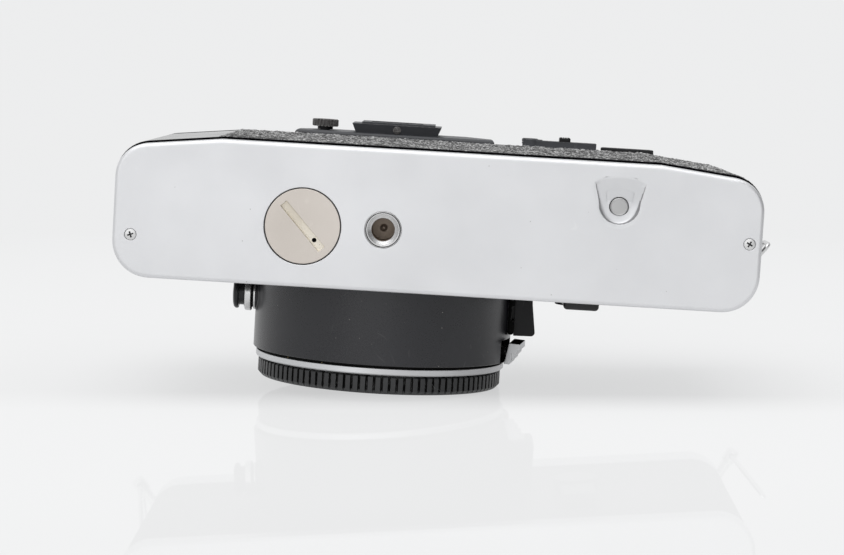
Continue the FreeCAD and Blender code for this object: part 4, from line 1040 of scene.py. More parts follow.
@dataclass(frozen=True)
class Finishes:
    """The shared finishes, named as the record's material slots where they have one."""

    # The plate's near-white edge colour is partly rubbed metal and partly a painted highlight on its
    # rounded edges.
    satin_silver: Skin = Skin("Satin silver plate", (0.73, 0.735, 0.75), (0.69, 0.695, 0.71), rough=0.42,
                              metallic=0.85, grain_scale=5200.0, grain=0.16, edge=(0.95, 0.95, 0.96),
                              edge_radius=0.35, edge_share=0.62, edge_gain=0.5, dust=0.03,
                              dust_colour=grey(0.45), scratches=0.18, scratch_colour=grey(0.9),
                              scratch_gain=0.15, rounding=0.25)
    bright_metal: Skin = Skin("Bright metal", grey(0.72), grey(0.6), rough=0.28, metallic=1.0,
                              grain_scale=4000.0, grain=0.08, edge=grey(0.95), edge_radius=0.15,
                              edge_gain=0.4, dust=0.04, dust_colour=(0.25, 0.24, 0.22))
    brushed_metal: Skin = Skin("Brushed metal", (0.66, 0.67, 0.68), (0.56, 0.56, 0.57), rough=0.34,
                               metallic=1.0, grain_scale=4000.0, edge=grey(0.92), edge_radius=0.15,
                               edge_gain=0.5, dust=0.05, dust_colour=(0.25, 0.24, 0.22),
                               lathe=Lathe(Facing.TO_BACK, (0, 0, 0)))
    cast_aluminium: Skin = Skin("Cast aluminium", (0.34, 0.34, 0.35), (0.26, 0.26, 0.27), rough=0.6,
                                metallic=0.9, grain_scale=1500.0, grain=0.8, edge=grey(0.6),
                                edge_radius=0.3, edge_gain=0.4, dust=0.1, dust_colour=grey(0.12))
    black_metal: Skin = Skin("Black satin paint", (0.0115, 0.012, 0.0155), (0.017, 0.0175, 0.022),
                             rough=0.26, grain_scale=4600.0, grain=0.16, edge=(0.2, 0.19, 0.17),
                             edge_radius=0.2, edge_share=0.42, edge_gain=0.55, dust=0.24,
                             dust_colour=(0.34, 0.33, 0.3), scratches=0.3, scratch_colour=grey(0.16),
                             scratch_gain=0.25, rounding=0.2)
    black_steel: Skin = Skin("Black steel", (0.012, 0.012, 0.013), (0.019, 0.019, 0.021), rough=0.3,
                             grain_scale=4600.0, grain=0.12, edge=grey(0.25), edge_radius=0.2,
                             edge_share=0.46, dust=0.1, dust_colour=(0.34, 0.34, 0.33), scratches=0.28,
                             shine=0.35)
    black_plastic: Skin = Skin("Black moulding", (0.008, 0.008, 0.009), (0.013, 0.013, 0.014), rough=0.4,
                               grain_scale=3000.0, grain=0.3, edge=grey(0.1), edge_radius=0.2,
                               edge_gain=0.5, dust_colour=(0.3, 0.3, 0.29), scratch_colour=grey(0.1),
                               shine=0.22)
    # Worn black moulding of the eyepiece parts; the screws' cross recesses use it as painted shade.
    grey_plastic: Skin = Skin("Worn black moulding", (0.034, 0.036, 0.042), (0.05, 0.052, 0.058),
                              rough=0.45, grain_scale=2600.0, grain=0.5, edge=(0.3, 0.3, 0.31),
                              edge_radius=0.2, edge_gain=0.7, dust=0.25, dust_colour=grey(0.2),
                              scratches=0.3, scratch_colour=grey(0.16))
    knurl: Skin = Skin("Rubbed knurling", (0.05, 0.047, 0.046), (0.09, 0.086, 0.084), rough=0.4,
                       grain_scale=2200.0, grain=0.6, edge=(0.45, 0.43, 0.42), edge_radius=0.22,
                       edge_share=0.6, edge_gain=0.9, dust=0.3, dust_colour=(0.3, 0.29, 0.28),
                       scratches=0.3)
    cap_plastic: Skin = Skin("Cap moulding", (0.02, 0.0205, 0.022), (0.029, 0.03, 0.032), rough=0.36,
                             grain_scale=3200.0, grain=0.25, edge=grey(0.12), edge_radius=0.12,
                             edge_share=0.6, dust=0.1, dust_colour=(0.3, 0.3, 0.29), scratches=0.2,
                             scratch_colour=grey(0.1), rounding=0.08)
    # Near-black painted shadow of the gap between the flange and the surround, with real grit specks in it.
    seam: Skin = Skin("Gritty seam", grey(0.004), grey(0.006), rough=0.6, grain_scale=3000.0, grain=0.4,
                      edge=grey(0.02), edge_radius=0.1, edge_share=0.4, edge_gain=0.3, dust=0.5,
                      dust_colour=(0.5, 0.42, 0.22), scratches=0.2, shine=0.1, dust_size=0.2)
    nickel: Skin = Skin("Warm nickel", (0.62, 0.575, 0.53), (0.57, 0.525, 0.48), rough=0.4, metallic=0.9,
                        grain_scale=5200.0, grain=0.2, edge=(0.9, 0.87, 0.83), edge_radius=0.2,
                        edge_share=0.6, dust=0.05, dust_colour=(0.3, 0.27, 0.22), scratches=0.3,
                        scratch_colour=(0.8, 0.76, 0.7))
    worn_nickel: Skin = Skin("Worn slot", (0.92, 0.88, 0.8), (0.6, 0.54, 0.44), rough=0.5, metallic=0.55,
                             grain_scale=2600.0, grain=0.5, edge=(0.9, 0.85, 0.75), edge_radius=0.2,
                             edge_share=0.6, dust=0.2, dust_colour=(0.2, 0.16, 0.1), scratches=0.5,
                             scratch_colour=(0.85, 0.8, 0.7), scratch_gain=0.6)
    # Real tarnish in the tripod bore; the stop-down tab's step undersides use it as painted shade.
    bore: Skin = Skin("Tarnished bore", (0.42, 0.35, 0.29), (0.2, 0.15, 0.11), rough=0.5, metallic=0.7,
                      grain_scale=1800.0, grain=0.6, edge=(0.5, 0.46, 0.4), edge_radius=0.15,
                      edge_share=0.6, edge_gain=0.5, dust=0.45, dust_colour=(0.03, 0.022, 0.015),
                      scratches=0.3, scratch_colour=(0.1, 0.08, 0.06))
    # Near-black painted shadow for grooves, gaps, holes and pieces that lie in shade.
    shadow: Skin = Skin("Dark recess", grey(0.003), grey(0.005), rough=0.8, dust=0.02, shine=0.1)
    # The door's band next to the plate and its far band are painted shade.
    door: Skin = Skin("Black gloss paint", (0.004, 0.004, 0.005), (0.006, 0.006, 0.008), rough=0.12,
                      grain_scale=3500.0, grain=0.06, edge=(0.2, 0.19, 0.17), edge_radius=0.12,
                      edge_share=0.3, dust=0.08, dust_colour=(0.34, 0.34, 0.33), scratches=0.3,
                      scratch_colour=grey(0.15), rounding=0.1, shine=0.25, dark_below=-36.6,
                      dark_above=17.5)
    cell_steel: Skin = Skin("Cell steel", (0.6, 0.6, 0.58), (0.52, 0.52, 0.5), rough=0.3, metallic=1.0,
                            grain_scale=4000.0, grain=0.08, edge=(0.85, 0.85, 0.82), edge_radius=0.2)
    spring_steel: Skin = Skin("Spring steel", (0.3, 0.3, 0.31), (0.24, 0.24, 0.26), rough=0.35,
                              metallic=0.9, grain_scale=4000.0, edge=grey(0.6), edge_radius=0.1)
    index_red: Skin = Skin("Red enamel", (0.45, 0.015, 0.012), (0.36, 0.012, 0.01), rough=0.3,
                           grain_scale=4000.0, edge=(0.6, 0.1, 0.08), edge_radius=0.08)
    ink: Skin = Skin("White figures", (0.72, 0.72, 0.7), (0.62, 0.62, 0.6), rough=0.5, grain=0.2,
                     edge=grey(0.5), edge_radius=0.02)
    dark_ink: Skin = Skin("Black figures", grey(0.02), grey(0.035), rough=0.5, grain=0.2, edge=grey(0.1),
                          edge_radius=0.02)
    mirror_glass: Skin = Skin("Silvered glass", (0.86, 0.88, 0.88), (0.84, 0.86, 0.86), rough=0.07,
                              metallic=1.0, grain=0.0, edge=grey(0.5), edge_radius=0.2, dust=0.05,
                              dust_colour=grey(0.3))
    black_leather: Leather = Leather("Pebbled leather", (0.02, 0.02, 0.021), (0.06, 0.06, 0.062))
    # Light pebble tones as painted sheen, low points as painted shade.
    raised_leather: Leather = Leather("Raised leather", raised=True)
    optical_glass: Glass = Glass("Optical glass")
    ground_glass: Glass = Glass("Ground glass", (0.88, 0.89, 0.88), 0.5)
    foam: Foam = Foam("Foam")

    def by_slot(self) -> Palette:
        """Build every finish."""
        return {field.name: getattr(self, field.name).build() for field in fields(self)}


# ---------------------------------------------------------------- sub-assemblies
@dataclass
class Assembly:
    """Base of every sub-assembly."""

    finishes: Palette

    def fit(self, piece: bpy.types.Object, body: str, slot: str, *nodes: str,
            finish: bpy.types.Material | None = None) -> None:
        """Give a finished piece its finish, its body and the CAD nodes that it stands for.

        Args:
            piece: Mesh object in its place; one that already has materials keeps them.
            body: Body that it rides on.
            slot: Material slot of the record.
            *nodes: CAD nodes that it replaces.
            finish: Its material, where that isn't the slot's own.
        """
        if not piece.data.materials:
            piece.data.materials.append(finish if finish is not None else self.finishes[slot])
        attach(piece, body)
        if nodes:
            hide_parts(*nodes)
        LOG.info("%s: %d faces on %s", piece.name, len(piece.data.polygons), body)


@dataclass
class CarriedNodes(Assembly):
    """The CAD nodes whose shape is already right, and the finish that each one gets."""

    def dress(self) -> None:
        """Put the slot's finish on every CAD node."""
        own = {"back_door": "door", "eyepiece_frame": "grey_plastic", "eyepiece_panel": "grey_plastic",
               "power_switch_plate": "grey_plastic"}
        for name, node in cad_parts.items():
            for slot in node.material_slots:
                key = own.get(name, slot.material.name.split(".")[0])
                slot.material = self.finishes[key]
            LOG.info("%s keeps its CAD shape", name)


@dataclass
class BodyCap(Assembly):
    """Ribbed cap with a bayonet boss."""

    radius: float = 29.25
    ribs: int = 104
    rib_depth: float = 0.5
    height: float = 4.3
    floor: float = 1.6
    wall_inside: float = 26.65
    boss: tuple[float, float, float] = (22.2, 20.5, 7.4)
    claw: tuple[float, float, float, float, float] = (21.8, 24.0, 6.35, 7.3, 46.0)

    def build(self) -> None:
        """Turn the cap, press its ribs and add the claws."""
        root = self.radius - self.rib_depth
        outer, inner, top = self.boss
        cap = turned("cap_body", [
            (self.radius - 0.8, 0), (root, 0.3), (self.radius, 0.85), (self.radius, self.height - 0.45),
            (self.radius - 0.2, self.height - 0.25), (root, self.height - 0.2), (root, self.height),
            (self.wall_inside, self.height),
            (self.wall_inside, self.floor), (outer, self.floor), (outer, top - 0.15),
            (outer - 0.15, top), (inner + 0.15, top), (inner, top - 0.15), (inner, self.floor)],
            self.ribs * 8)
        fluted(cap, self.ribs, 8, (6, 7), self.radius, self.rib_depth, 0.7, self.height)
        cap.data.materials.append(self.finishes["cap_plastic"])
        inlaid(cap, self.finishes["shadow"], lambda co, n: co.z > 0.7 and n.z < 0.9
               and root - 0.4 < math.hypot(co.x, co.y) < self.radius - self.rib_depth * 0.35)
        low_r, high_r, low, high, angle = self.claw
        claws = around(bevelled(arc_block("cap_claw", low_r, high_r, low, high, angle), 0.12), 3)
        joined(cap, claws)
        self.fit(smoothed(cap, 25), "body_cap", "cap_plastic", "body_cap")


def mount_screws() -> list[Station]:
    """Middles of the mount flange's screws, the first one at the top.

    Returns:
        Their places across the flange, in millimetres.
    """
    turns = [math.radians(90 + 360 / MOUNT_SCREWS * index) for index in range(MOUNT_SCREWS)]
    return [(MOUNT_SCREW_CIRCLE * math.cos(turn), MOUNT_SCREW_CIRCLE * math.sin(turn))
            for turn in turns]


@dataclass
class MountFlange(Assembly):
    """Bright bayonet flange with claws and screw seats."""

    radius: float = 29.95
    seam: float = 29.25
    throat: float = 24.6
    low: float = 4.5
    high: float = 6.2
    seam_high: float = 6.6
    seat_line: Outline = ((1.5, -0.9), (1.5, 1.0))

    def build(self) -> None:
        """Turn the ring, add the claws and sink the screw seats."""
        ring = turned("flange", [
            (self.throat, self.low), (self.radius - 0.3, self.low), (self.radius, self.low + 0.3),
            (self.radius, self.high - 0.25), (self.radius - 0.12, self.high - 0.12),
            (self.seam, self.high - 0.12), (self.seam, self.seam_high),
            (self.throat, self.seam_high)], 192, True)
        for place in mount_screws():
            seat = turned("seat", self.seat_line, 32)
            laid(seat, Facing.TO_BACK, (*place, self.low))
            carved(ring, seat)
        claws = around(bevelled(arc_block("claw", 22.4, self.throat + 0.5, 5.1, self.high, 46.0),
                                0.12), 3)
        joined(ring, claws)
        ring.data.materials.append(self.finishes["brushed_metal"])
        # The seam faces get the near-black painted shadow of the gap.
        inlaid(ring, self.finishes["seam"],
               lambda co, _n: co.z > self.high - 0.13 and math.hypot(co.x, co.y) > self.seam - 0.1)
        self.fit(smoothed(ring), "camera_body", "brushed_metal", "mount_flange")


@dataclass
class Screws(Assembly):
    """Cross-head screws of the bottom plate and of the mount flange."""

    plate: tuple[Point, ...] = ((-56.6, 34.6, 20.0), (82.2, 40.7, 62.0))
    plate_face: float = -43.1
    flange_face: float = 4.5

    def screw(self, name: str, head: float, shank: float, length: float) -> bpy.types.Object:
        """Model one screw, its face up at height nought, with a tapered cross in its head.

        Args:
            name: Piece name.
            head: Radius of the head in millimetres.
            shank: Radius of the shank.
            length: Length from the face to the tip.

        Returns:
            The new mesh object with its finishes.
        """
        piece = turned(name, [(shank, -length), (shank, -0.95), (head, -0.95), (head, -0.3),
                              (head - 0.15, -0.1), (head * 0.5, 0)], 48)
        for turn in (0, 90):
            bar = slab("bar", (-0.58 * head, -0.14 * head, -0.6), (0.58 * head, 0.14 * head, 0.3))
            pick(bar, Part.FACE, lambda _c, n: n.z < -0.9)
            bpy.ops.transform.resize(value=(0.72, 0.7, 1), center_override=(0, 0, -0.6 * MM))
            close_edit()
            carved(piece, laid(bar, Facing.TO_BACK, (0, 0, 0), turn))
        piece.data.materials.append(self.finishes["bright_metal"])
        # Painted shade: the cross recess gets the dark moulding finish.
        inlaid(piece, self.finishes["grey_plastic"], lambda co, n: math.hypot(co.x, co.y) < 0.64 * head
               and (co.z < -0.12 and (abs(n.z) < 0.9 or co.z < -0.4) and co.z > -0.7))
        return smoothed(piece)

    def build(self) -> None:
        """Model each kind once and put the copies in their places."""
        first = self.screw("plate_screw", 1.375, 0.8, 5.7)
        mount = self.screw("mount_screw", 1.5, 0.9, 3.3)
        made = []
        for index, (x, z, turn) in enumerate(self.plate):
            made.append(laid(copied(first, f"plate_screw_{index + 1}"), Facing.TO_BASE,
                             (x, self.plate_face, z), turn))
        for index, place in enumerate(mount_screws()):
            made.append(laid(copied(mount, f"mount_screw_{index + 1}"), Facing.TO_FRONT,
                             (*place, self.flange_face), 31 * index))
        bpy.data.objects.remove(first)
        bpy.data.objects.remove(mount)
        for piece in made:
            self.fit(piece, "camera_body", "bright_metal", "cross_head_screws")


@dataclass
class BatteryCover(Assembly):
    """Coin-slot cover of the battery chamber."""

    at: tuple[float, float] = (-18.1, 38.75)
    back: float = -39.6
    radius: float = 8.5
    boss: float = 7.5
    slot_length: float = 13.4
    slot_width: float = 2.0
    slot_depth: float = 0.8
    slot_turn: float = -47.5
    thickness: float = 3.4

    def build(self) -> None:
        """Turn the disc, mill the slot and drill the vent."""
        face = self.thickness
        disc = turned("battery_lid", [
            (self.boss, 0), (self.boss, 1.6), (self.radius, 1.6), (self.radius, face - 0.22),
            (self.radius - 0.07, face - 0.07), (self.radius - 0.22, face)], 144)
        half, wide = self.slot_length / 2, self.slot_width / 2
        mill = slab("mill", (-half, -wide, face - self.slot_depth), (half, wide, face + 1))
        pick(mill, Part.FACE, lambda _c, n: n.z < -0.9)
        bpy.ops.transform.resize(value=(1, 0.86, 1))
        close_edit()
        carved(disc, bevelled(mill, 0.12, 2))
        vent = laid(turned("drill", [(0.5, face - 1.6), (0.5, face + 1)], 32), Facing.TO_BACK,
                    (4.1, 0, 0))
        carved(disc, vent)
        bevelled(disc, 0.06, 2, 50)
        laid(disc, Facing.TO_BASE, (self.at[0], self.back, self.at[1]), self.slot_turn)
        disc.data.materials.append(self.finishes["nickel"])
        inlaid(disc, self.finishes["worn_nickel"], lambda co, _n: -42.93 < co.y < -42.0
               and math.hypot(co.x - self.at[0], co.z - self.at[1]) < 7)
        inlaid(disc, self.finishes["shadow"], lambda co, _n: -42.19 < co.y < -41.3
               and math.hypot(co.x - self.at[0] - 2.77, co.z - self.at[1] + 3.02) < 0.7)
        self.fit(smoothed(disc), "battery_cover", "nickel", "battery_cover")


@dataclass
class TripodSocket(Assembly):
    """Threaded insert of the tripod mount."""

    z: float = 39.0
    back: float = -34.0
    major: float = 3.1
    minor: float = 2.6
    pitch: float = 1.27

    def build(self) -> None:
        """Turn the collar, the mouth, the thread and the floor in one run."""
        path: list[Station] = [(6.0, 0), (6.0, 8.1), (4.15, 8.1), (4.15, 8.95), (4.05, 9.05),
                               (3.98, 9.05), (3.95, 8.75), (3.8, 8.75),
                               (3.77, 9.02), (3.45, 8.95), (3.42, 8.7), (3.3, 8.62), (2.62, 8.2)]
        for turn in range(5):
            top = 8.1 - self.pitch * turn
            path += [(self.minor, top), (self.major, top - 0.5), (self.major, top - 0.62),
                     (self.minor, top - 1.12)]
        path += [(self.minor, 1.4), (0.9, 1.4), (0.25, 0.95)]
        socket = turned("tripod_bush", path, 96)
        laid(socket, Facing.TO_BASE, (0, self.back, self.z))
        socket.data.materials.append(
            Skin("Turned socket", grey(0.62), (0.42, 0.42, 0.43), rough=0.2, metallic=1.0,
                 grain_scale=4000.0, grain=0.05, edge=(0.95, 0.95, 0.93), edge_radius=0.12, dust=0.08,
                 dust_colour=(0.1, 0.08, 0.06), lathe=Lathe(Facing.TO_BASE, (0, self.back, self.z)),
                 lathe_gain=1.2).build())
        inlaid(socket, self.finishes["bore"], lambda co, _n: co.y > -42.15
               and math.hypot(co.x, co.z - self.z) < 3.3)
        inlaid(socket, self.finishes["shadow"], lambda co, n: abs(n.y) < 0.7 and co.y < -42.5
               and 3.76 < math.hypot(co.x, co.z - self.z) or co.y < -42.5
               and 3.78 < math.hypot(co.x, co.z - self.z) < 3.96)
        self.fit(smoothed(socket, 28), "camera_body", "bright_metal", "tripod_socket")


@dataclass
class RewindRelease(Assembly):
    """Small round button that frees the film for rewinding."""

    at: Point = (52.56, -34.0, 47.3)
    rewind_release_line: Outline = (
        (1.65, 0), (1.65, 5.5), (2.05, 5.5), (2.05, 7.85), (1.98, 8.05), (1.8, 8.17), (1.7, 8.1),
        (1.0, 8.12))

    def build(self) -> None:
        """Turn the button with a faint dish in its face."""
        button = turned("rewind_release", self.rewind_release_line, 64)
        laid(button, Facing.TO_BASE, self.at)
        self.fit(smoothed(button), "rewind_release_button", "bright_metal", "rewind_release_button",
                 finish=Skin("Turned button", grey(0.55), grey(0.47), rough=0.4, metallic=0.9,
                             grain_scale=4000.0, edge=grey(0.9), edge_radius=0.1,
                             lathe=Lathe(Facing.TO_BASE, self.at)).build())


@dataclass
class ThumbScoop(Assembly):
    """Soft pressed bowl round the rewind release button, laid into the plate's recess."""

    at: tuple[float, float] = (52.56, 48.4)
    face: float = -43.0
    outline: Outline = (
        (-5.8, 4.0), (-5.55, 2.4), (-5.2, 0.6), (-4.9, -0.9), (-4.55, -2.1), (-4.0, -3.3), (-3.2, -4.3),
        (-2.2, -5.05), (-1.1, -5.5), (0, -5.65), (1.1, -5.5), (2.2, -5.05), (3.2, -4.3), (4.0, -3.3),
        (4.55, -2.1), (4.9, -0.9), (5.2, 0.6), (5.55, 2.4), (5.8, 4.0), (4.6, 4.6), (3.2, 5.05),
        (1.6, 5.35), (0, 5.45), (-1.6, 5.35), (-3.2, 5.05), (-4.6, 4.6))
    rings: Outline = (
        (1.07, -0.012), (1.03, -0.008), (0.995, 0.04), (0.965, 0.15), (0.93, 0.42), (0.895, 0.78),
        (0.86, 1.02), (0.82, 1.16), (0.75, 1.26), (0.56, 1.34))

    def build(self) -> None:
        """Draw the rim, sink it ring by ring and lift its floor towards the back edge."""
        bowl = cut_from_outline("scoop_bowl", self.outline, 0, 1)
        pick(bowl, Part.FACE, lambda c, n: not (abs(n.z) > 0.9 and c.z < 0.5))
        bpy.ops.mesh.delete(type="FACE")
        bpy.ops.mesh.select_mode(type="EDGE")
        bpy.ops.mesh.select_all(action="SELECT")
        bpy.ops.mesh.delete(type="ONLY_FACE")
        bpy.ops.mesh.select_all(action="SELECT")
        last, deep = self.rings[0]
        bpy.ops.transform.resize(value=(last, last, 1), center_override=(0, 0, 0))
        for share, depth in self.rings[1:]:
            bpy.ops.mesh.extrude_region_move()
            bpy.ops.transform.translate(value=(0, 0, (deep - depth) * MM))
            bpy.ops.transform.resize(value=(share / last, share / last, 1), center_override=(0, 0, 0))
            last, deep = share, depth
        close_edit()
        for vertex in bowl.data.vertices:
            across, up = vertex.co.x / MM, vertex.co.y / MM
            floor = max(0.012, min(1.33, (5.45 - up - 0.03 * across * across) * 0.245))
            vertex.co.z = max(vertex.co.z + 0.012 * MM, (0.012 - floor) * MM)
        tidy(bowl)
        bowl.rotation_euler = (math.radians(90), 0, 0)
        bowl.location = (self.at[0] * MM, self.face * MM, self.at[1] * MM)
        applied(bowl)
        flip = sum(face.normal.y for face in bowl.data.polygons) > 0
        if flip:
            pick(bowl, Part.FACE, lambda _c, _n: True)
            bpy.ops.mesh.flip_normals()
            close_edit()
        bowl.data.materials.append(self.finishes["satin_silver"])
        # Painted shade: the bowl's steep walls get a darker finish.
        wall = Skin("Pressed wall", (0.42, 0.42, 0.43), (0.34, 0.34, 0.35), rough=0.5, metallic=0.5,
                    grain_scale=4500.0, grain=0.2, edge=grey(0.5), edge_radius=0.2).build()
        inlaid(bowl, wall, lambda co, n: abs(n.y) < 0.8 and co.y > self.face + 0.16
               and co.z < self.at[1] + 4.2)
        self.fit(smoothed(bowl, 60), "camera_body", "satin_silver")


@dataclass
class PowerSwitch(Assembly):
    """Round end of the switch plate and the sliding button on it."""

    at: Point = (34.0, 28.9, 57.9)
    switch_end_line: Outline = (
        (1.7, 0), (2.05, 0.15), (2.05, 0.5), (1.9, 0.62), (2.05, 0.75), (2.05, 1.3), (1.8, 1.52),
        (1.0, 1.55))
    frame_screw_line: Outline = ((1.0, -1.2), (1.0, -0.1), (0.92, 0.02), (0.78, 0.06))
    slot_block: Block = ((-1.2, -0.13, -0.15), (1.2, 0.13, 1))

    def build(self) -> None:
        """Turn the plate's end, then round the button and cut its grips."""
        end = turned("switch_end", self.switch_end_line, 64)
        laid(end, Facing.TO_BACK, self.at)
        self.fit(smoothed(end), "camera_body", "black_plastic", finish=self.finishes["grey_plastic"])
        low, high = (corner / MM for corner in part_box("power_switch_slider"))
        thumb = bevelled(slab("switch_button", tuple(low), tuple(high)), 0.4, 4)
        middle = (low.x + high.x) / 2
        for offset in (-0.55, 0, 0.55):
            carved(thumb, slab("grip", (middle + offset - 0.12, low.y - 1, high.z - 0.25),
                               (middle + offset + 0.12, high.y + 1, high.z + 1)))
        self.fit(smoothed(thumb), "power_switch_slider", "black_plastic", "power_switch_slider")
        head = turned("frame_screw", self.frame_screw_line, 48)
        carved(head, slab("slot", *self.slot_block))
        laid(head, Facing.TO_BASE, (0.45, 25.5, 59.45))
        self.fit(smoothed(head), "camera_body", "black_steel", finish=self.finishes["knurl"])


@dataclass
class StrapLug:
    """Round post with an eye, standing out of the body's corner."""

    eye: Point
    lean: float
    strap_post_line: Outline = (
        (1.12, -7.2), (1.12, -3.5), (1.25, -3.4), (1.25, -2.1), (1.65, -1.9), (1.7, -1.7), (1.7, 0.9),
        (1.6, 1.35), (1.3, 1.65), (0.8, 1.75))
    eye_line: Outline = ((0.75, -3), (0.75, 3))

    def build(self) -> bpy.types.Object:
        """Turn the post, bore its eye and lean it outwards.

        Returns:
            The post in its place.
        """
        post = turned("strap_post", self.strap_post_line, 64)
        eye = turned("eye", self.eye_line, 32)
        carved(post, laid(eye, Facing.TO_BASE, (0, 0, 0)))
        turn = Matrix.Rotation(math.radians(self.lean), 4, "Y")
        post.matrix_world = Matrix.Translation(Vector(self.eye) * MM) @ turn
        return applied(post)


@dataclass
class StrapLugs(Assembly):
    """The two lugs, which are one piece of the CAD."""

    def build(self) -> None:
        """Make both lugs and give them the body."""
        left = StrapLug(LEFT_EYE, -146.6).build()
        right = StrapLug(RIGHT_EYE, 146.6).build()
        self.fit(smoothed(joined(left, right)), "camera_body", "bright_metal", "strap_lugs")


@dataclass
class LensRelease(Assembly):
    """Black push button of the lens lock in its bright stepped collar, with a black ring of painted shade
    round the collar.
    """

    end: Point = (-36.0, -2.0, 19.3)
    lens_release_head_line: Outline = (
        (2.2, 0), (3.0, 0.08), (3.55, 0.25), (3.9, 0.55), (4.0, 0.85), (3.95, 1.2), (3.8, 1.4), (3.1, 1.45),
        (3.1, 7.2))
    lens_release_bush_line: Outline = (
        (3.15, 2.75), (3.8, 2.75), (4.25, 2.95), (4.4, 3.2), (4.4, 4.3), (4.25, 4.45), (3.5, 4.5),
        (3.5, 4.85), (3.85, 4.9), (4.0, 5.05), (4.0, 5.4), (3.85, 5.5), (3.6, 5.5), (3.6, 7.1), (3.15, 7.1))
    lens_release_guard_line: Outline = ((3.62, 5.5), (4.05, 5.5), (4.25, 5.65), (4.25, 7.0), (3.62, 7.0))

    def build(self) -> None:
        """Turn the button, the collar and the black ring of painted shade."""
        button = turned("lens_release_head", self.lens_release_head_line, 96)
        laid(button, Facing.TO_RIGHT, self.end)
        self.fit(smoothed(button), "lens_release_button", "black_steel", "lens_release_button")
        collar = turned("lens_release_bush", self.lens_release_bush_line, 96, True)
        laid(collar, Facing.TO_RIGHT, self.end)
        finish = Skin("Turned collar", grey(0.78), grey(0.62), rough=0.2, metallic=1.0,
                      grain_scale=4000.0, grain=0.05, edge=grey(0.95), edge_radius=0.1,
                      lathe=Lathe(Facing.TO_RIGHT, self.end))
        collar.data.materials.append(finish.build())
        inlaid(collar, self.finishes["shadow"], lambda co, _n: self.end[0] + 4.46 < co.x
               < self.end[0] + 4.88)
        self.fit(smoothed(collar), "camera_body", "bright_metal", "lens_release_collar")
        # Painted shade: a black ring stands for the shadowed edge of the collar's hole.
        shade_ring = turned("lens_release_guard", self.lens_release_guard_line, 96, True)
        laid(shade_ring, Facing.TO_RIGHT, self.end)
        self.fit(smoothed(shade_ring), "camera_body", "black_steel")


@dataclass
class MountSurround(Assembly):
    """Black cylinder in front of the body, with the lever's window and the slider's rail."""

    radius: float = 30.95
    offset: float = 0.3
    wall: float = 1.4
    low: float = 6.8
    high: float = 26.1
    throat: float = 25.2
    window: tuple[float, float, float, float] = (6.85, 12.25, 17.0, -14.0)
    index_angle: float = -9.5
    bore_cut_line: Outline = ((4.1, 0), (4.1, 7))
    mount_index_line: Outline = ((0.42, -0.6), (0.45, 0), (0.4, 0.1), (0.2, 0.17))
    hump_cut: Block = ((-20.5, 21.6, 14.6), (20.5, 40, 30))
    rail_block: Block = ((30.2, -8.6, 13.4), (31.7, 8.6, 24.9))
    groove_block: Block = ((31.0, -12, 16.8), (32.5, 10, 20.2))

    def build(self) -> None:
        """Turn the tube, open its cuts, add the rail and set the index dot."""
        inner = self.radius - self.wall
        tube = turned("mount_tube", [
            (self.throat, self.low), (self.radius - 0.12, self.low), (self.radius, self.low + 0.12),
            (self.radius, self.high), (inner, self.high), (inner, self.low + 1.2),
            (self.throat, self.low + 1.2)], 256, True)
        laid(tube, Facing.TO_BACK, (self.offset, 0, 0))
        carved(tube, slab("hump_cut", *self.hump_cut))
        low, high, angle, turn = self.window
        window = arc_block("window_cut", inner - 1.6, self.radius + 1, low, high, angle)
        carved(tube, laid(window, Facing.TO_BACK, (0, 0, 0), turn))
        bore = turned("bore_cut", self.bore_cut_line, 96)
        carved(tube, laid(bore, Facing.TO_RIGHT, (-self.radius - 3, -2, 19.3)))
        tube.data.materials.append(self.finishes["black_metal"])
        inlaid(tube, self.finishes["shadow"], lambda co, n: math.hypot(co.x, co.y)
               < self.radius - 0.15 and co.z < high + 0.3 and co.x > 20 and abs(n.z) < 0.99)
        rail = bevelled(slab("rail", *self.rail_block), 0.6, 4)
        carved(rail, slab("groove", *self.groove_block))
        rail.data.materials.append(self.finishes["shadow"])
        joined(tube, smoothed(rail))
        self.fit(smoothed(tube), "camera_body", "black_metal", "lens_mount_surround")
        dot = turned("mount_index", self.mount_index_line, 32)
        laid(dot, Facing.TO_RIGHT, (31.1, 0, 6.45))
        laid(dot, Facing.TO_BACK, (0, 0, 0), self.index_angle)
        self.fit(smoothed(dot), "camera_body", "index_red", "index_dot")


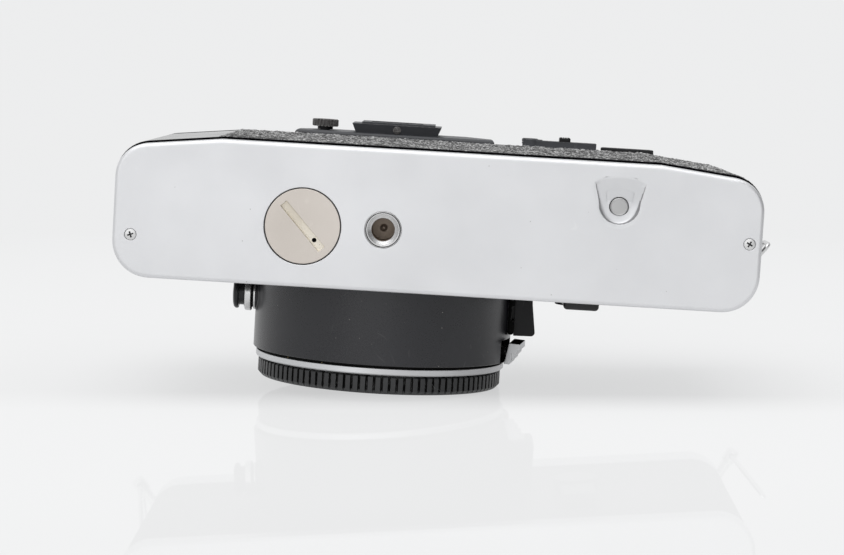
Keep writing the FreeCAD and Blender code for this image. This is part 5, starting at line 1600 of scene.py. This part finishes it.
@dataclass
class StopDownTab(Assembly):
    """Bright toothed tab on the ring that turns inside the surround."""

    angle: float = -18.0
    depth: float = 4.4
    rise: float = 0.72
    side: Outline = (
        (31.3, 6.5), (32.7, 6.45), (32.75, 7.4), (33.5, 7.45), (33.6, 8.65), (34.3, 8.7), (34.4, 9.9),
        (35.1, 10.0), (35.05, 11.5), (32.35, 11.6))
    stop_ring_line: Outline = ((25.6, 8.6), (29.3, 8.6), (29.3, 10.6), (25.6, 10.6))
    neck_block: Block = ((28.0, 0.5, 8.6), (31.4, 3.7, 10.6))
    tab_step_block: Block = ((33.1, -1, 6), (36, 0.55, 9.3))

    def build(self) -> None:
        """Turn the ring, cut the tab from its outline and draw its far side up."""
        ring = turned("stop_ring", self.stop_ring_line, 128, True)
        neck = slab("neck", *self.neck_block)
        laid(neck, Facing.TO_BACK, (0, 0, 0), self.angle)
        # Painted shade: the ring is bright metal but gets black steel, and its neck the painted-shadow
        # finish, as both lie in shadow inside the surround.
        ring.data.materials.append(self.finishes["black_steel"])
        neck.data.materials.append(self.finishes["shadow"])
        tab = laid(cut_from_outline("stop_tab", self.side, -self.depth, 0), Facing.TO_BASE, (0, 0, 0))
        pick(tab, Part.VERT, lambda co, _n: co.y > self.depth / 2)
        bpy.ops.transform.translate(value=(0, 0, self.rise * MM))
        close_edit()
        carved(tab, slab("tab_step", *self.tab_step_block))
        bevelled(tab, 0.12, 2, 20)
        tab.data.materials.append(
            Skin("Tab steel", (0.66, 0.665, 0.675), (0.56, 0.565, 0.575), rough=0.4, metallic=0.9,
                 grain_scale=4200.0, grain=0.25, edge=grey(0.9), edge_radius=0.15, edge_gain=0.5, dust=0.06,
                 dust_colour=(0.25, 0.24, 0.22), scratches=0.2).build())
        inlaid(tab, self.finishes["shadow"], lambda co, n: n.z > 0.8 and co.z > 10.8)
        # Painted shade: the undersides of the tab's steps get the dark bore finish.
        inlaid(tab, self.finishes["bore"], lambda _c, n: -0.95 < n.z < -0.55 and n.x > 0.3)
        laid(tab, Facing.TO_BACK, (0, 0, 0), self.angle)
        joined(ring, neck, smoothed(tab, 20))
        self.fit(ring, "stop_down_lever", "bright_metal", "stop_down_lever")


@dataclass
class RewindControls(Assembly):
    """Rewind knob with its crank, and the film-speed ring under it."""

    x: float = -44.6
    z: float = 42.6
    ring_low: float = 35.15
    knob_low: float = 38.7
    knob_radius: float = 8.8
    ring_radius: float = 12.5
    pivot_x: float = -51.1
    pivot_y: float = 43.4
    grip_x: float = -38.4
    speeds: tuple[str, ...] = ("25", "50", "100", "200", "400", "800", "1600")
    speed_ring_line: Outline = (
        (4.95, 0), (12.25, 0), (12.5, 0.25), (12.5, 1.65), (12.25, 1.9), (11.8, 1.95), (11.8, 3.0),
        (11.55, 3.25), (4.95, 3.25))
    rewind_head_line: Outline = (
        (8.4, 0), (8.8, 0.3), (8.8, 3.35), (8.55, 3.7), (7.35, 3.7), (7.2, 3.55), (7.2, 3.2))
    pin_line: Outline = ((0.35, -0.1), (0.45, 0), (0.45, 6.6), (0.35, 6.7))
    grip_line: Outline = ((2.4, 1.3), (2.7, 1.6), (2.7, 4.4), (2.45, 4.7), (1.2, 4.7), (1.0, 4.5))

    def build(self) -> None:
        """Turn the ring and the knob, then make the crank."""
        at = (self.x, self.ring_low, self.z)
        silver = turned_aluminium("Turned aluminium", at)
        ring = turned("speed_ring", self.speed_ring_line, 84 * 4, True)
        fluted(ring, 84, 4, (2, 3), self.ring_radius, 0.4, 0.2, 1.7)
        self.fit(smoothed(laid(ring, Facing.TO_TOP, at), 25), "exposure_ring", "bright_metal",
                 "exposure_ring", finish=silver)
        labels = figure_ring("speed_label", self.speeds, 1.9, (self.x, 38.41, self.z), 10.2, 38, -114)
        self.fit(labels, "exposure_ring", "bright_metal", finish=self.finishes["dark_ink"])
        knob = turned("rewind_head", self.rewind_head_line, 60 * 4)
        fluted(knob, 60, 4, (2, 3), self.knob_radius, 0.35, 0.2, 3.4)
        laid(knob, Facing.TO_TOP, (self.x, self.knob_low, self.z))
        parts = []
        for side in (-1, 1):
            middle = self.z + side * 2.65
            ear = slab("ear", (self.pivot_x - 1.5, 41.6, middle - 0.6),
                       (self.pivot_x + 1.5, 44.3, middle + 0.6))
            parts.append(bevelled(ear, 0.35, 3))
        pin = laid(turned("pin", self.pin_line, 32), Facing.TO_BACK,
                   (self.pivot_x, self.pivot_y, self.z - 3.3))
        joined(knob, pin, *parts)
        self.fit(smoothed(knob, 25), "rewind_knob", "bright_metal", "rewind_knob", finish=silver)
        self.crank()

    def crank(self) -> None:
        """Make the folding arm and its ribbed grip."""
        low, thick = self.pivot_y - 0.7, 1.4
        points = [(-0.95 * math.cos(a), -1.9 * math.sin(a)) for a in
                  (math.radians(v) for v in (90, 60, 30, 0, -30, -60, -90))]
        reach = self.grip_x - self.pivot_x
        points += [(reach + 2.8 * math.sin(a), 2.8 * math.cos(a)) for a in
                   (math.radians(v) for v in (-40, -10, 20, 55, 90, 125, 160, 190, 220))]
        arm = bevelled(cut_from_outline("crank", points, 0, thick), 0.2, 2)
        laid(arm, Facing.TO_TOP, (self.pivot_x, low, self.z))
        grip = turned("grip", self.grip_line, 80)
        fluted(grip, 20, 4, (2, 3), 2.7, 0.25, 1.5, 4.5)
        laid(grip, Facing.TO_TOP, (self.grip_x, low, self.z))
        joined(arm, grip)
        self.fit(smoothed(arm, 28), "rewind_crank", "bright_metal", "rewind_crank")


@dataclass
class SpeedDial(Assembly):
    """Knurled shutter-speed dial with its figures."""

    at: Point = (35.2, 35.15, 42.0)
    radius: float = 8.8
    speeds: tuple[str, ...] = ("B", "1", "2", "4", "8", "15", "30", "60", "125", "250", "500", "1000")
    speed_dial_line: Outline = (
        (8.4, 0), (8.8, 0.3), (8.8, 3.95), (8.5, 4.2), (8.3, 4.3), (7.9, 4.85), (3.1, 4.85), (2.9, 4.7),
        (2.5, 4.7), (2.3, 4.85))

    def build(self) -> None:
        """Turn the dial and set the figures round its top."""
        dial = turned("speed_dial", self.speed_dial_line, 60 * 4)
        fluted(dial, 60, 4, (2, 3), self.radius, 0.4, 0.2, 4.0)
        laid(dial, Facing.TO_TOP, self.at)
        self.fit(smoothed(dial, 25), "shutter_speed_dial", "bright_metal", "shutter_speed_dial",
                 finish=turned_aluminium("Dial aluminium", self.at))
        x, low, z = self.at
        labels = figure_ring("dial_figures", self.speeds, 1.75, (x, low + 4.86, z), 6.2, 28, -154)
        self.fit(labels, "shutter_speed_dial", "bright_metal", finish=self.finishes["dark_ink"])


@dataclass
class ReleaseButton(Assembly):
    """Shutter release with its threaded socket and collar."""

    x: float = 48.0
    z: float = 31.5
    release_button_line: Outline = (
        (1.4, 29.0), (1.4, 36.9), (2.75, 36.9), (2.9, 37.05), (2.9, 38.3), (2.75, 38.65), (2.4, 38.8),
        (1.35, 38.62), (1.2, 38.5), (0.95, 38.3), (0.85, 37.5))
    release_ring_line: Outline = (
        (3.2, 35.0), (4.6, 35.0), (4.6, 36.4), (4.45, 36.8), (4.1, 37.15), (3.95, 37.2), (3.35, 37.2),
        (3.2, 37.05))

    def build(self) -> None:
        """Turn the button and the collar."""
        button = turned("release_button", self.release_button_line, 72)
        laid(button, Facing.TO_TOP, (self.x, 0, self.z))
        self.fit(smoothed(button), "shutter_release_button", "bright_metal", "shutter_release_button")
        collar = turned("release_ring", self.release_ring_line, 96, True)
        laid(collar, Facing.TO_TOP, (self.x, 0, self.z))
        self.fit(smoothed(collar), "camera_body", "bright_metal", "release_collar")


@dataclass
class AdvanceLever(Assembly):
    """Film advance lever with its turned hub and thumb grip."""

    x: float = 54.2
    z: float = 42.6
    low: float = 35.25
    back_edge: float = 57.1
    lever_hub_line: Outline = (
        (3.0, -10.05), (3.0, 0), (7.35, 0), (7.5, 0.15), (7.5, 2.55), (7.2, 2.95), (6.9, 3.15), (4.6, 3.15),
        (4.45, 3.0), (4.1, 3.0), (3.9, 3.15), (0.9, 3.15), (0.75, 2.9))

    def build(self) -> None:
        """Turn the hub, cut the arm and mould the grip."""
        hub = turned("lever_hub", self.lever_hub_line, 120)
        laid(hub, Facing.TO_TOP, (self.x, self.low, self.z))
        back = self.back_edge - self.z
        arm = cut_from_outline("lever_arm", [
            (-6.0, -2), (-4.2, -6.4), (-2.0, -(back - 1.8)), (-1.6, -back), (10.8, -back),
            (11.6, -(back - 4.5)), (9.6, -5.4), (7.2, 0)], 0.2, 1.5)
        laid(bevelled(arm, 0.25, 2), Facing.TO_TOP, (self.x, self.low, self.z))
        joined(hub, arm)
        self.fit(smoothed(hub, 28), "advance_lever", "bright_metal", "advance_lever",
                 finish=turned_aluminium("Lever aluminium", (self.x, self.low, self.z)))
        grip = cut_from_outline("lever_grip", [
            (-1.9, -(back + 0.9)), (-0.9, -(back - 2.4)), (2.6, -(back - 4.9)), (6.5, -(back - 6.0)),
            (9.6, -(back - 6.1)), (12.0, -(back - 5.2)), (12.1, -(back - 2.0)),
            (11.5, -(back + 0.9))], 1.5, 4.2)
        lip = slab("lip", (-1.9, -(back + 0.9), 0.2), (11.5, -back, 1.6))
        joined(bevelled(grip, 0.7, 4), bevelled(lip, 0.25, 2))
        laid(grip, Facing.TO_TOP, (self.x, self.low, self.z))
        self.fit(smoothed(grip), "advance_lever", "black_plastic", "advance_lever_tip")


@dataclass
class FrameCounter(Assembly):
    """Counting disc with its figures under a domed window."""

    at: Point = (70.5, 33.8, 44.5)
    window_z: float = 39.9
    counter_disc_line: Outline = (
        (1.0, -6.8), (1.0, -0.8), (7.4, -0.8), (7.5, -0.7), (7.5, -0.1), (7.4, 0), (1.2, 0), (1.0, -0.15))
    counter_window_line: Outline = ((2.8, 34.1), (2.8, 34.98), (2.3, 35.07), (1.2, 35.1))

    def build(self) -> None:
        """Turn the disc and the window and set the figures."""
        disc = turned("counter_disc", self.counter_disc_line, 96)
        laid(disc, Facing.TO_TOP, self.at)
        self.fit(smoothed(disc), "frame_counter_dial", "black_plastic", "frame_counter_dial")
        x, top, z = self.at
        counts = [str(number) for number in range(0, 39, 3)]
        labels = figure_ring("counter_figures", counts, 1.5, (x, top + 0.02, z), 4.7, 360 / 13, 0)
        self.fit(labels, "frame_counter_dial", "black_plastic", finish=self.finishes["ink"])
        window = turned("counter_window", self.counter_window_line, 64)
        laid(window, Facing.TO_TOP, (self.at[0], 0, self.window_z))
        self.fit(smoothed(window), "camera_body", "optical_glass", "frame_counter_window")


@dataclass
class BlindKnob(Assembly):
    """Knurled knob of the eyepiece blind."""

    at: Point = (-17.9, 33.6, 54.6)
    blind_knob_line: Outline = (
        (1.2, 0), (1.2, 3.95), (1.95, 3.95), (1.95, 4.7), (3.1, 4.7), (3.3, 4.9), (3.3, 6.3), (3.1, 6.5),
        (2.3, 6.5), (2.1, 6.38))

    def build(self) -> None:
        """Turn the knob, press its flutes and give its lower part the black moulding."""
        knob = turned("blind_knob", self.blind_knob_line, 22 * 6)
        fluted(knob, 22, 6, (3, 4, 5), 3.3, 0.32, 4.8, 6.4)
        laid(knob, Facing.TO_BACK, self.at)
        knob.data.materials.append(self.finishes["knurl"])
        inlaid(knob, self.finishes["black_plastic"], lambda co, _n: co.z < self.at[2] + 4.72)
        self.fit(smoothed(knob, 25), "eyepiece_blind_knob", "black_plastic", "eyepiece_blind_knob")


@dataclass
class StrapRing(Assembly):
    """Wire loop through the eye of a strap lug."""

    name: str
    eye: Point
    lean: float
    wire: float = 0.55

    def build(self) -> None:
        """Draw the loop's line, round its corners and give it the wire's thickness."""
        corners = [(-1.9, 0), (1.9, 0), (5.0, 13.0), (-5.0, 13.0)]
        loop = cut_from_outline(self.name + "_wire", corners, 0, 1)
        pick(loop, Part.FACE, lambda c, n: not (abs(n.z) > 0.9 and c.z < 0.5))
        bpy.ops.mesh.delete(type="FACE")
        bpy.ops.mesh.select_mode(type="VERT")
        bpy.ops.mesh.select_all(action="SELECT")
        bpy.ops.mesh.bevel(offset=1.5 * MM, segments=7, affect="VERTICES")
        bpy.ops.mesh.select_mode(type="FACE")
        bpy.ops.mesh.select_all(action="SELECT")
        bpy.ops.mesh.delete(type="ONLY_FACE")
        close_edit()
        bpy.ops.object.convert(target="CURVE")
        line = bpy.context.object
        line.data.bevel_depth = self.wire * MM
        line.data.bevel_resolution = 5
        bpy.ops.object.convert(target="MESH")
        ring = tidy(named(self.name + "_wire"))
        turn = Matrix.Rotation(math.radians(self.lean), 4, "Y")
        base = Matrix(((0, 0, 1, 0), (1, 0, 0, 0), (0, 1, 0, 0), (0, 0, 0, 1)))
        ring.matrix_world = Matrix.Translation(Vector(self.eye) * MM) @ turn @ base
        applied(ring)
        self.fit(smoothed(tidy(ring), 60), self.name, "bright_metal", self.name)


@dataclass
class DoorLeather(Assembly):
    """Pebbled covering of the back door, with its grain in the mesh."""

    pebble: float = 1.15
    relief: float = 0.5
    grid: float = 0.3

    def build(self) -> None:
        """Lay a fine grid on the door's covering, raise the pebbles and give it thickness."""
        target = copied(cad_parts["door_leather"], "leather_former")
        target.parent = None
        tidy(target)
        low, high = (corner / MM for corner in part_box("door_leather"))
        width, tall = high.x - low.x - 0.06, high.y - low.y - 0.06
        deselect()
        bpy.ops.mesh.primitive_grid_add(
            x_subdivisions=int(width / self.grid), y_subdivisions=int(tall / self.grid), size=1,
            location=((low.x + high.x) / 2 * MM, (low.y + high.y) / 2 * MM, 60 * MM))
        cover = named("door_covering")
        cover.scale = (width * MM, tall * MM, 1)
        applied(cover)
        wrap = cover.modifiers.new("Lay", "SHRINKWRAP")
        wrap.wrap_method = "PROJECT"
        wrap.use_project_z = True
        wrap.use_negative_direction = True
        wrap.use_positive_direction = False
        wrap.target = target
        bpy.ops.object.modifier_apply(modifier=wrap.name)
        flat = [vertex.co.z for vertex in cover.data.vertices]
        for name, kind, size, strength in (("Pebbles", "VORONOI", self.pebble, self.relief),
                                           ("Unevenness", "CLOUDS", 2.4, self.relief * 0.5)):
            texture = bpy.data.textures.new(name, kind)
            texture.noise_scale = size * MM
            raise_up = cover.modifiers.new(name, "DISPLACE")
            raise_up.texture = texture
            raise_up.texture_coords = "LOCAL"
            raise_up.strength = -strength * MM if kind == "VORONOI" else strength * MM
            raise_up.mid_level = 0.35
            bpy.ops.object.modifier_apply(modifier=raise_up.name)
        rise = cover.data.attributes.new("relief", "FLOAT", "POINT")
        gain = [vertex.co.z - start for vertex, start in zip(cover.data.vertices, flat)]
        ranked = sorted(gain)
        least, most = ranked[len(ranked) // 20], ranked[-len(ranked) // 20]
        for mark, value in zip(rise.data, gain):
            mark.value = max(0.0, min(1.0, (value - least) / (most - least)))
        activate(cover)
        open_edit(Part.EDGE, "DESELECT")
        bpy.ops.mesh.select_non_manifold(extend=False)
        bpy.ops.mesh.extrude_region_move(TRANSFORM_OT_translate={"value": (0, 0, -0.5 * MM)})
        close_edit()
        bpy.data.objects.remove(target)
        self.fit(smoothed(cover, 80), "back_door", "black_leather", "door_leather",
                 finish=self.finishes["raised_leather"])


# ---------------------------------------------------------------- studio
@dataclass
class Studio:
    """Pale floor and surroundings, soft lamps and the camera."""

    seen: float = 0.855
    fill: float = 0.52
    flag: Point = (0.97, -0.24, 0.05)
    floor_gloss: float = 0.08
    floor_lift: float = 0.68
    floor_lean: tuple[float, float] = (1.0, -3.2)
    floor_drop: float = -1.69
    camera_at: Point = (13.17, -609.09, 77.61)
    right: Point = (0.9982, 0.0118, 0.0594)
    down: Point = (0.0602, -0.0853, -0.9946)
    ahead: Point = (-0.0067, 0.9963, -0.0858)
    lens: float = 107.915
    lamps: tuple[tuple[str, Point, float, float], ...] = (
        ("Top softbox", (-150, -200, 900), 60, 1.25), ("Front softbox", (-200, -850, 350), 60, 0.45))

    def build(self) -> None:
        """Make the surroundings, the floor, the lamps and the camera."""
        self.surroundings()
        self.floor()
        for lamp in self.lamps:
            self.sun(*lamp)
        self.camera()

    def surroundings(self) -> None:
        """Pale world that looks white to the camera and lights the rest softly."""
        world = bpy.data.worlds.new("Pale room")
        bpy.context.scene.world = world
        world.use_nodes = True
        world.node_tree.nodes.clear()
        tree = Tree(world.node_tree)
        ray = tree.add("ShaderNodeLightPath")
        seen = tree.sum("MAXIMUM", ray.outputs["Is Camera Ray"],
                        tree.sum("MAXIMUM", ray.outputs["Is Glossy Ray"],
                                 ray.outputs["Is Transmission Ray"]))
        soft = tree.add("ShaderNodeBackground", {"Color": rgba((1, 1, 1)), "Strength": self.fill})
        way = tree.add("ShaderNodeTexCoord").outputs["Generated"]
        side = tree.vector("DOT_PRODUCT", way, self.flag)
        shaded = tree.fit(side, 0.45, 0.95, self.seen, self.seen * 0.3)
        direct = tree.sum("MULTIPLY", ray.outputs["Is Camera Ray"], self.seen)
        level = tree.sum("MAXIMUM", direct, shaded)
        pale = tree.add("ShaderNodeBackground", {"Color": rgba((0.99, 0.995, 1.0)),
                                                 "Strength": level})
        mixed = tree.add("ShaderNodeMixShader", {0: seen, 1: soft.outputs[0], 2: pale.outputs[0]})
        tree.add("ShaderNodeOutputWorld", {"Surface": mixed.outputs[0]})

    def floor(self) -> None:
        """Wide glossy white floor under the cap, which glows for camera and glossy rays; the glow is a
        painted pool of light, brighter near the middle, and it covers much of the object's shadow, most of
        all in front.
        """
        deselect()
        bpy.ops.mesh.primitive_plane_add(size=1, location=(0, 0.45, 0))
        floor = named("studio_floor")
        floor.scale = (1.0, 2.1, 1)
        applied(floor)
        floor.rotation_euler = [math.radians(v) for v in (*self.floor_lean, 0)]
        floor.location = (0, 0, self.floor_drop * MM)
        applied(floor)
        material, tree = Finish("White gloss floor").start()
        matt = tree.add("ShaderNodeBsdfDiffuse", {"Color": rgba((0.84, 0.842, 0.845))})
        ray = tree.add("ShaderNodeLightPath")
        place = tree.place()
        far = tree.vector("LENGTH", place)
        # Painted light: the glow is brighter near the middle and, mixed in by the lift, covers much of the
        # shadow, most of all in front.
        glow = tree.fit(far, 0.15, 0.45, self.seen * 1.07, self.seen)
        lit = tree.add("ShaderNodeEmission", {"Color": rgba((0.99, 0.995, 1.0)), "Strength": glow})
        plain = tree.fit(far, 0.1, 0.42, self.floor_lift, 1.0)
        along = tree.add("ShaderNodeSeparateXYZ", {0: place}).outputs["Y"]
        plain = tree.sum("MAXIMUM", plain, tree.fit(along, -0.04, 0.06, 0.93, 0.0))
        lift = tree.sum("MULTIPLY", tree.sum("MAXIMUM", ray.outputs["Is Camera Ray"],
                                             ray.outputs["Is Glossy Ray"]), plain)
        base = tree.add("ShaderNodeMixShader", {0: lift, 1: matt.outputs[0], 2: lit.outputs[0]})
        gloss = tree.add("ShaderNodeBsdfGlossy", {"Color": rgba((1, 1, 1)), "Roughness": 0.012})
        share = tree.fit(far, 0.3, 0.45, self.floor_gloss, 0.0)
        share = tree.sum("MULTIPLY", share, tree.fit(along, 0.02, 0.09, 1.0, 0.0))
        mixed = tree.add("ShaderNodeMixShader", {0: share, 1: base.outputs[0],
                                                 2: gloss.outputs[0]})
        tree.add("ShaderNodeOutputMaterial", {"Surface": mixed.outputs[0]})
        floor.data.materials.append(material)

    def sun(self, name: str, source: Point, spread: float, strength: float) -> None:
        """Light everything from one side as a far, wide softbox does.

        Args:
            name: Lamp name.
            source: Any point on the line from the origin to the lamp.
            spread: Angle that the softbox fills, in degrees.
            strength: Irradiance in watts per square metre.
        """
        light = bpy.data.lights.new(name, "SUN")
        light.angle = math.radians(spread)
        light.energy = strength
        holder = bpy.data.objects.new(name, light)
        bpy.context.scene.collection.objects.link(holder)
        holder.location = Vector(source) * MM
        holder.rotation_euler = (-Vector(source)).to_track_quat("-Z", "Y").to_euler()

    def camera(self) -> None:
        """Set up the camera."""
        lens = bpy.data.cameras.new("Viewpoint")
        lens.lens = self.lens
        lens.sensor_width = 36.0
        lens.clip_start = 0.02
        holder = bpy.data.objects.new("Viewpoint", lens)
        bpy.context.scene.collection.objects.link(holder)
        right, up, back = Vector(self.right), -Vector(self.down), -Vector(self.ahead)
        place = Vector(self.camera_at) * MM
        holder.matrix_world = Matrix(((right.x, up.x, back.x, place.x), (right.y, up.y, back.y, place.y),
                                      (right.z, up.z, back.z, place.z), (0, 0, 0, 1)))
        bpy.context.scene.camera = holder


def main() -> None:
    """Dress the carried nodes, and build the new pieces and the studio."""
    logging.basicConfig(level=logging.INFO, format="%(name)s: %(message)s")
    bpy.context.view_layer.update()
    bpy.context.scene.view_settings.view_transform = "Standard"
    for name in ("Cube", "Light", "Camera"):
        if name in bpy.data.objects:
            bpy.data.objects.remove(bpy.data.objects[name])
    finishes = Finishes().by_slot()
    CarriedNodes(finishes).dress()
    kinds = (BodyCap, MountFlange, Screws, BatteryCover, TripodSocket, RewindRelease, LensRelease,
             MountSurround, StopDownTab, ThumbScoop, StrapLugs, PowerSwitch, RewindControls, SpeedDial,
             ReleaseButton, AdvanceLever, FrameCounter, BlindKnob)
    assemblies = [kind(finishes) for kind in kinds]
    assemblies += [StrapRing(finishes, "strap_ring_left", LEFT_EYE, 0.0),
                   StrapRing(finishes, "strap_ring_right", RIGHT_EYE, 36.0), DoorLeather(finishes)]
    for assembly in assemblies:
        LOG.info("building %s", type(assembly).__name__)
        assembly.build()
    Studio().build()


if __name__ == "__main__":
    main()
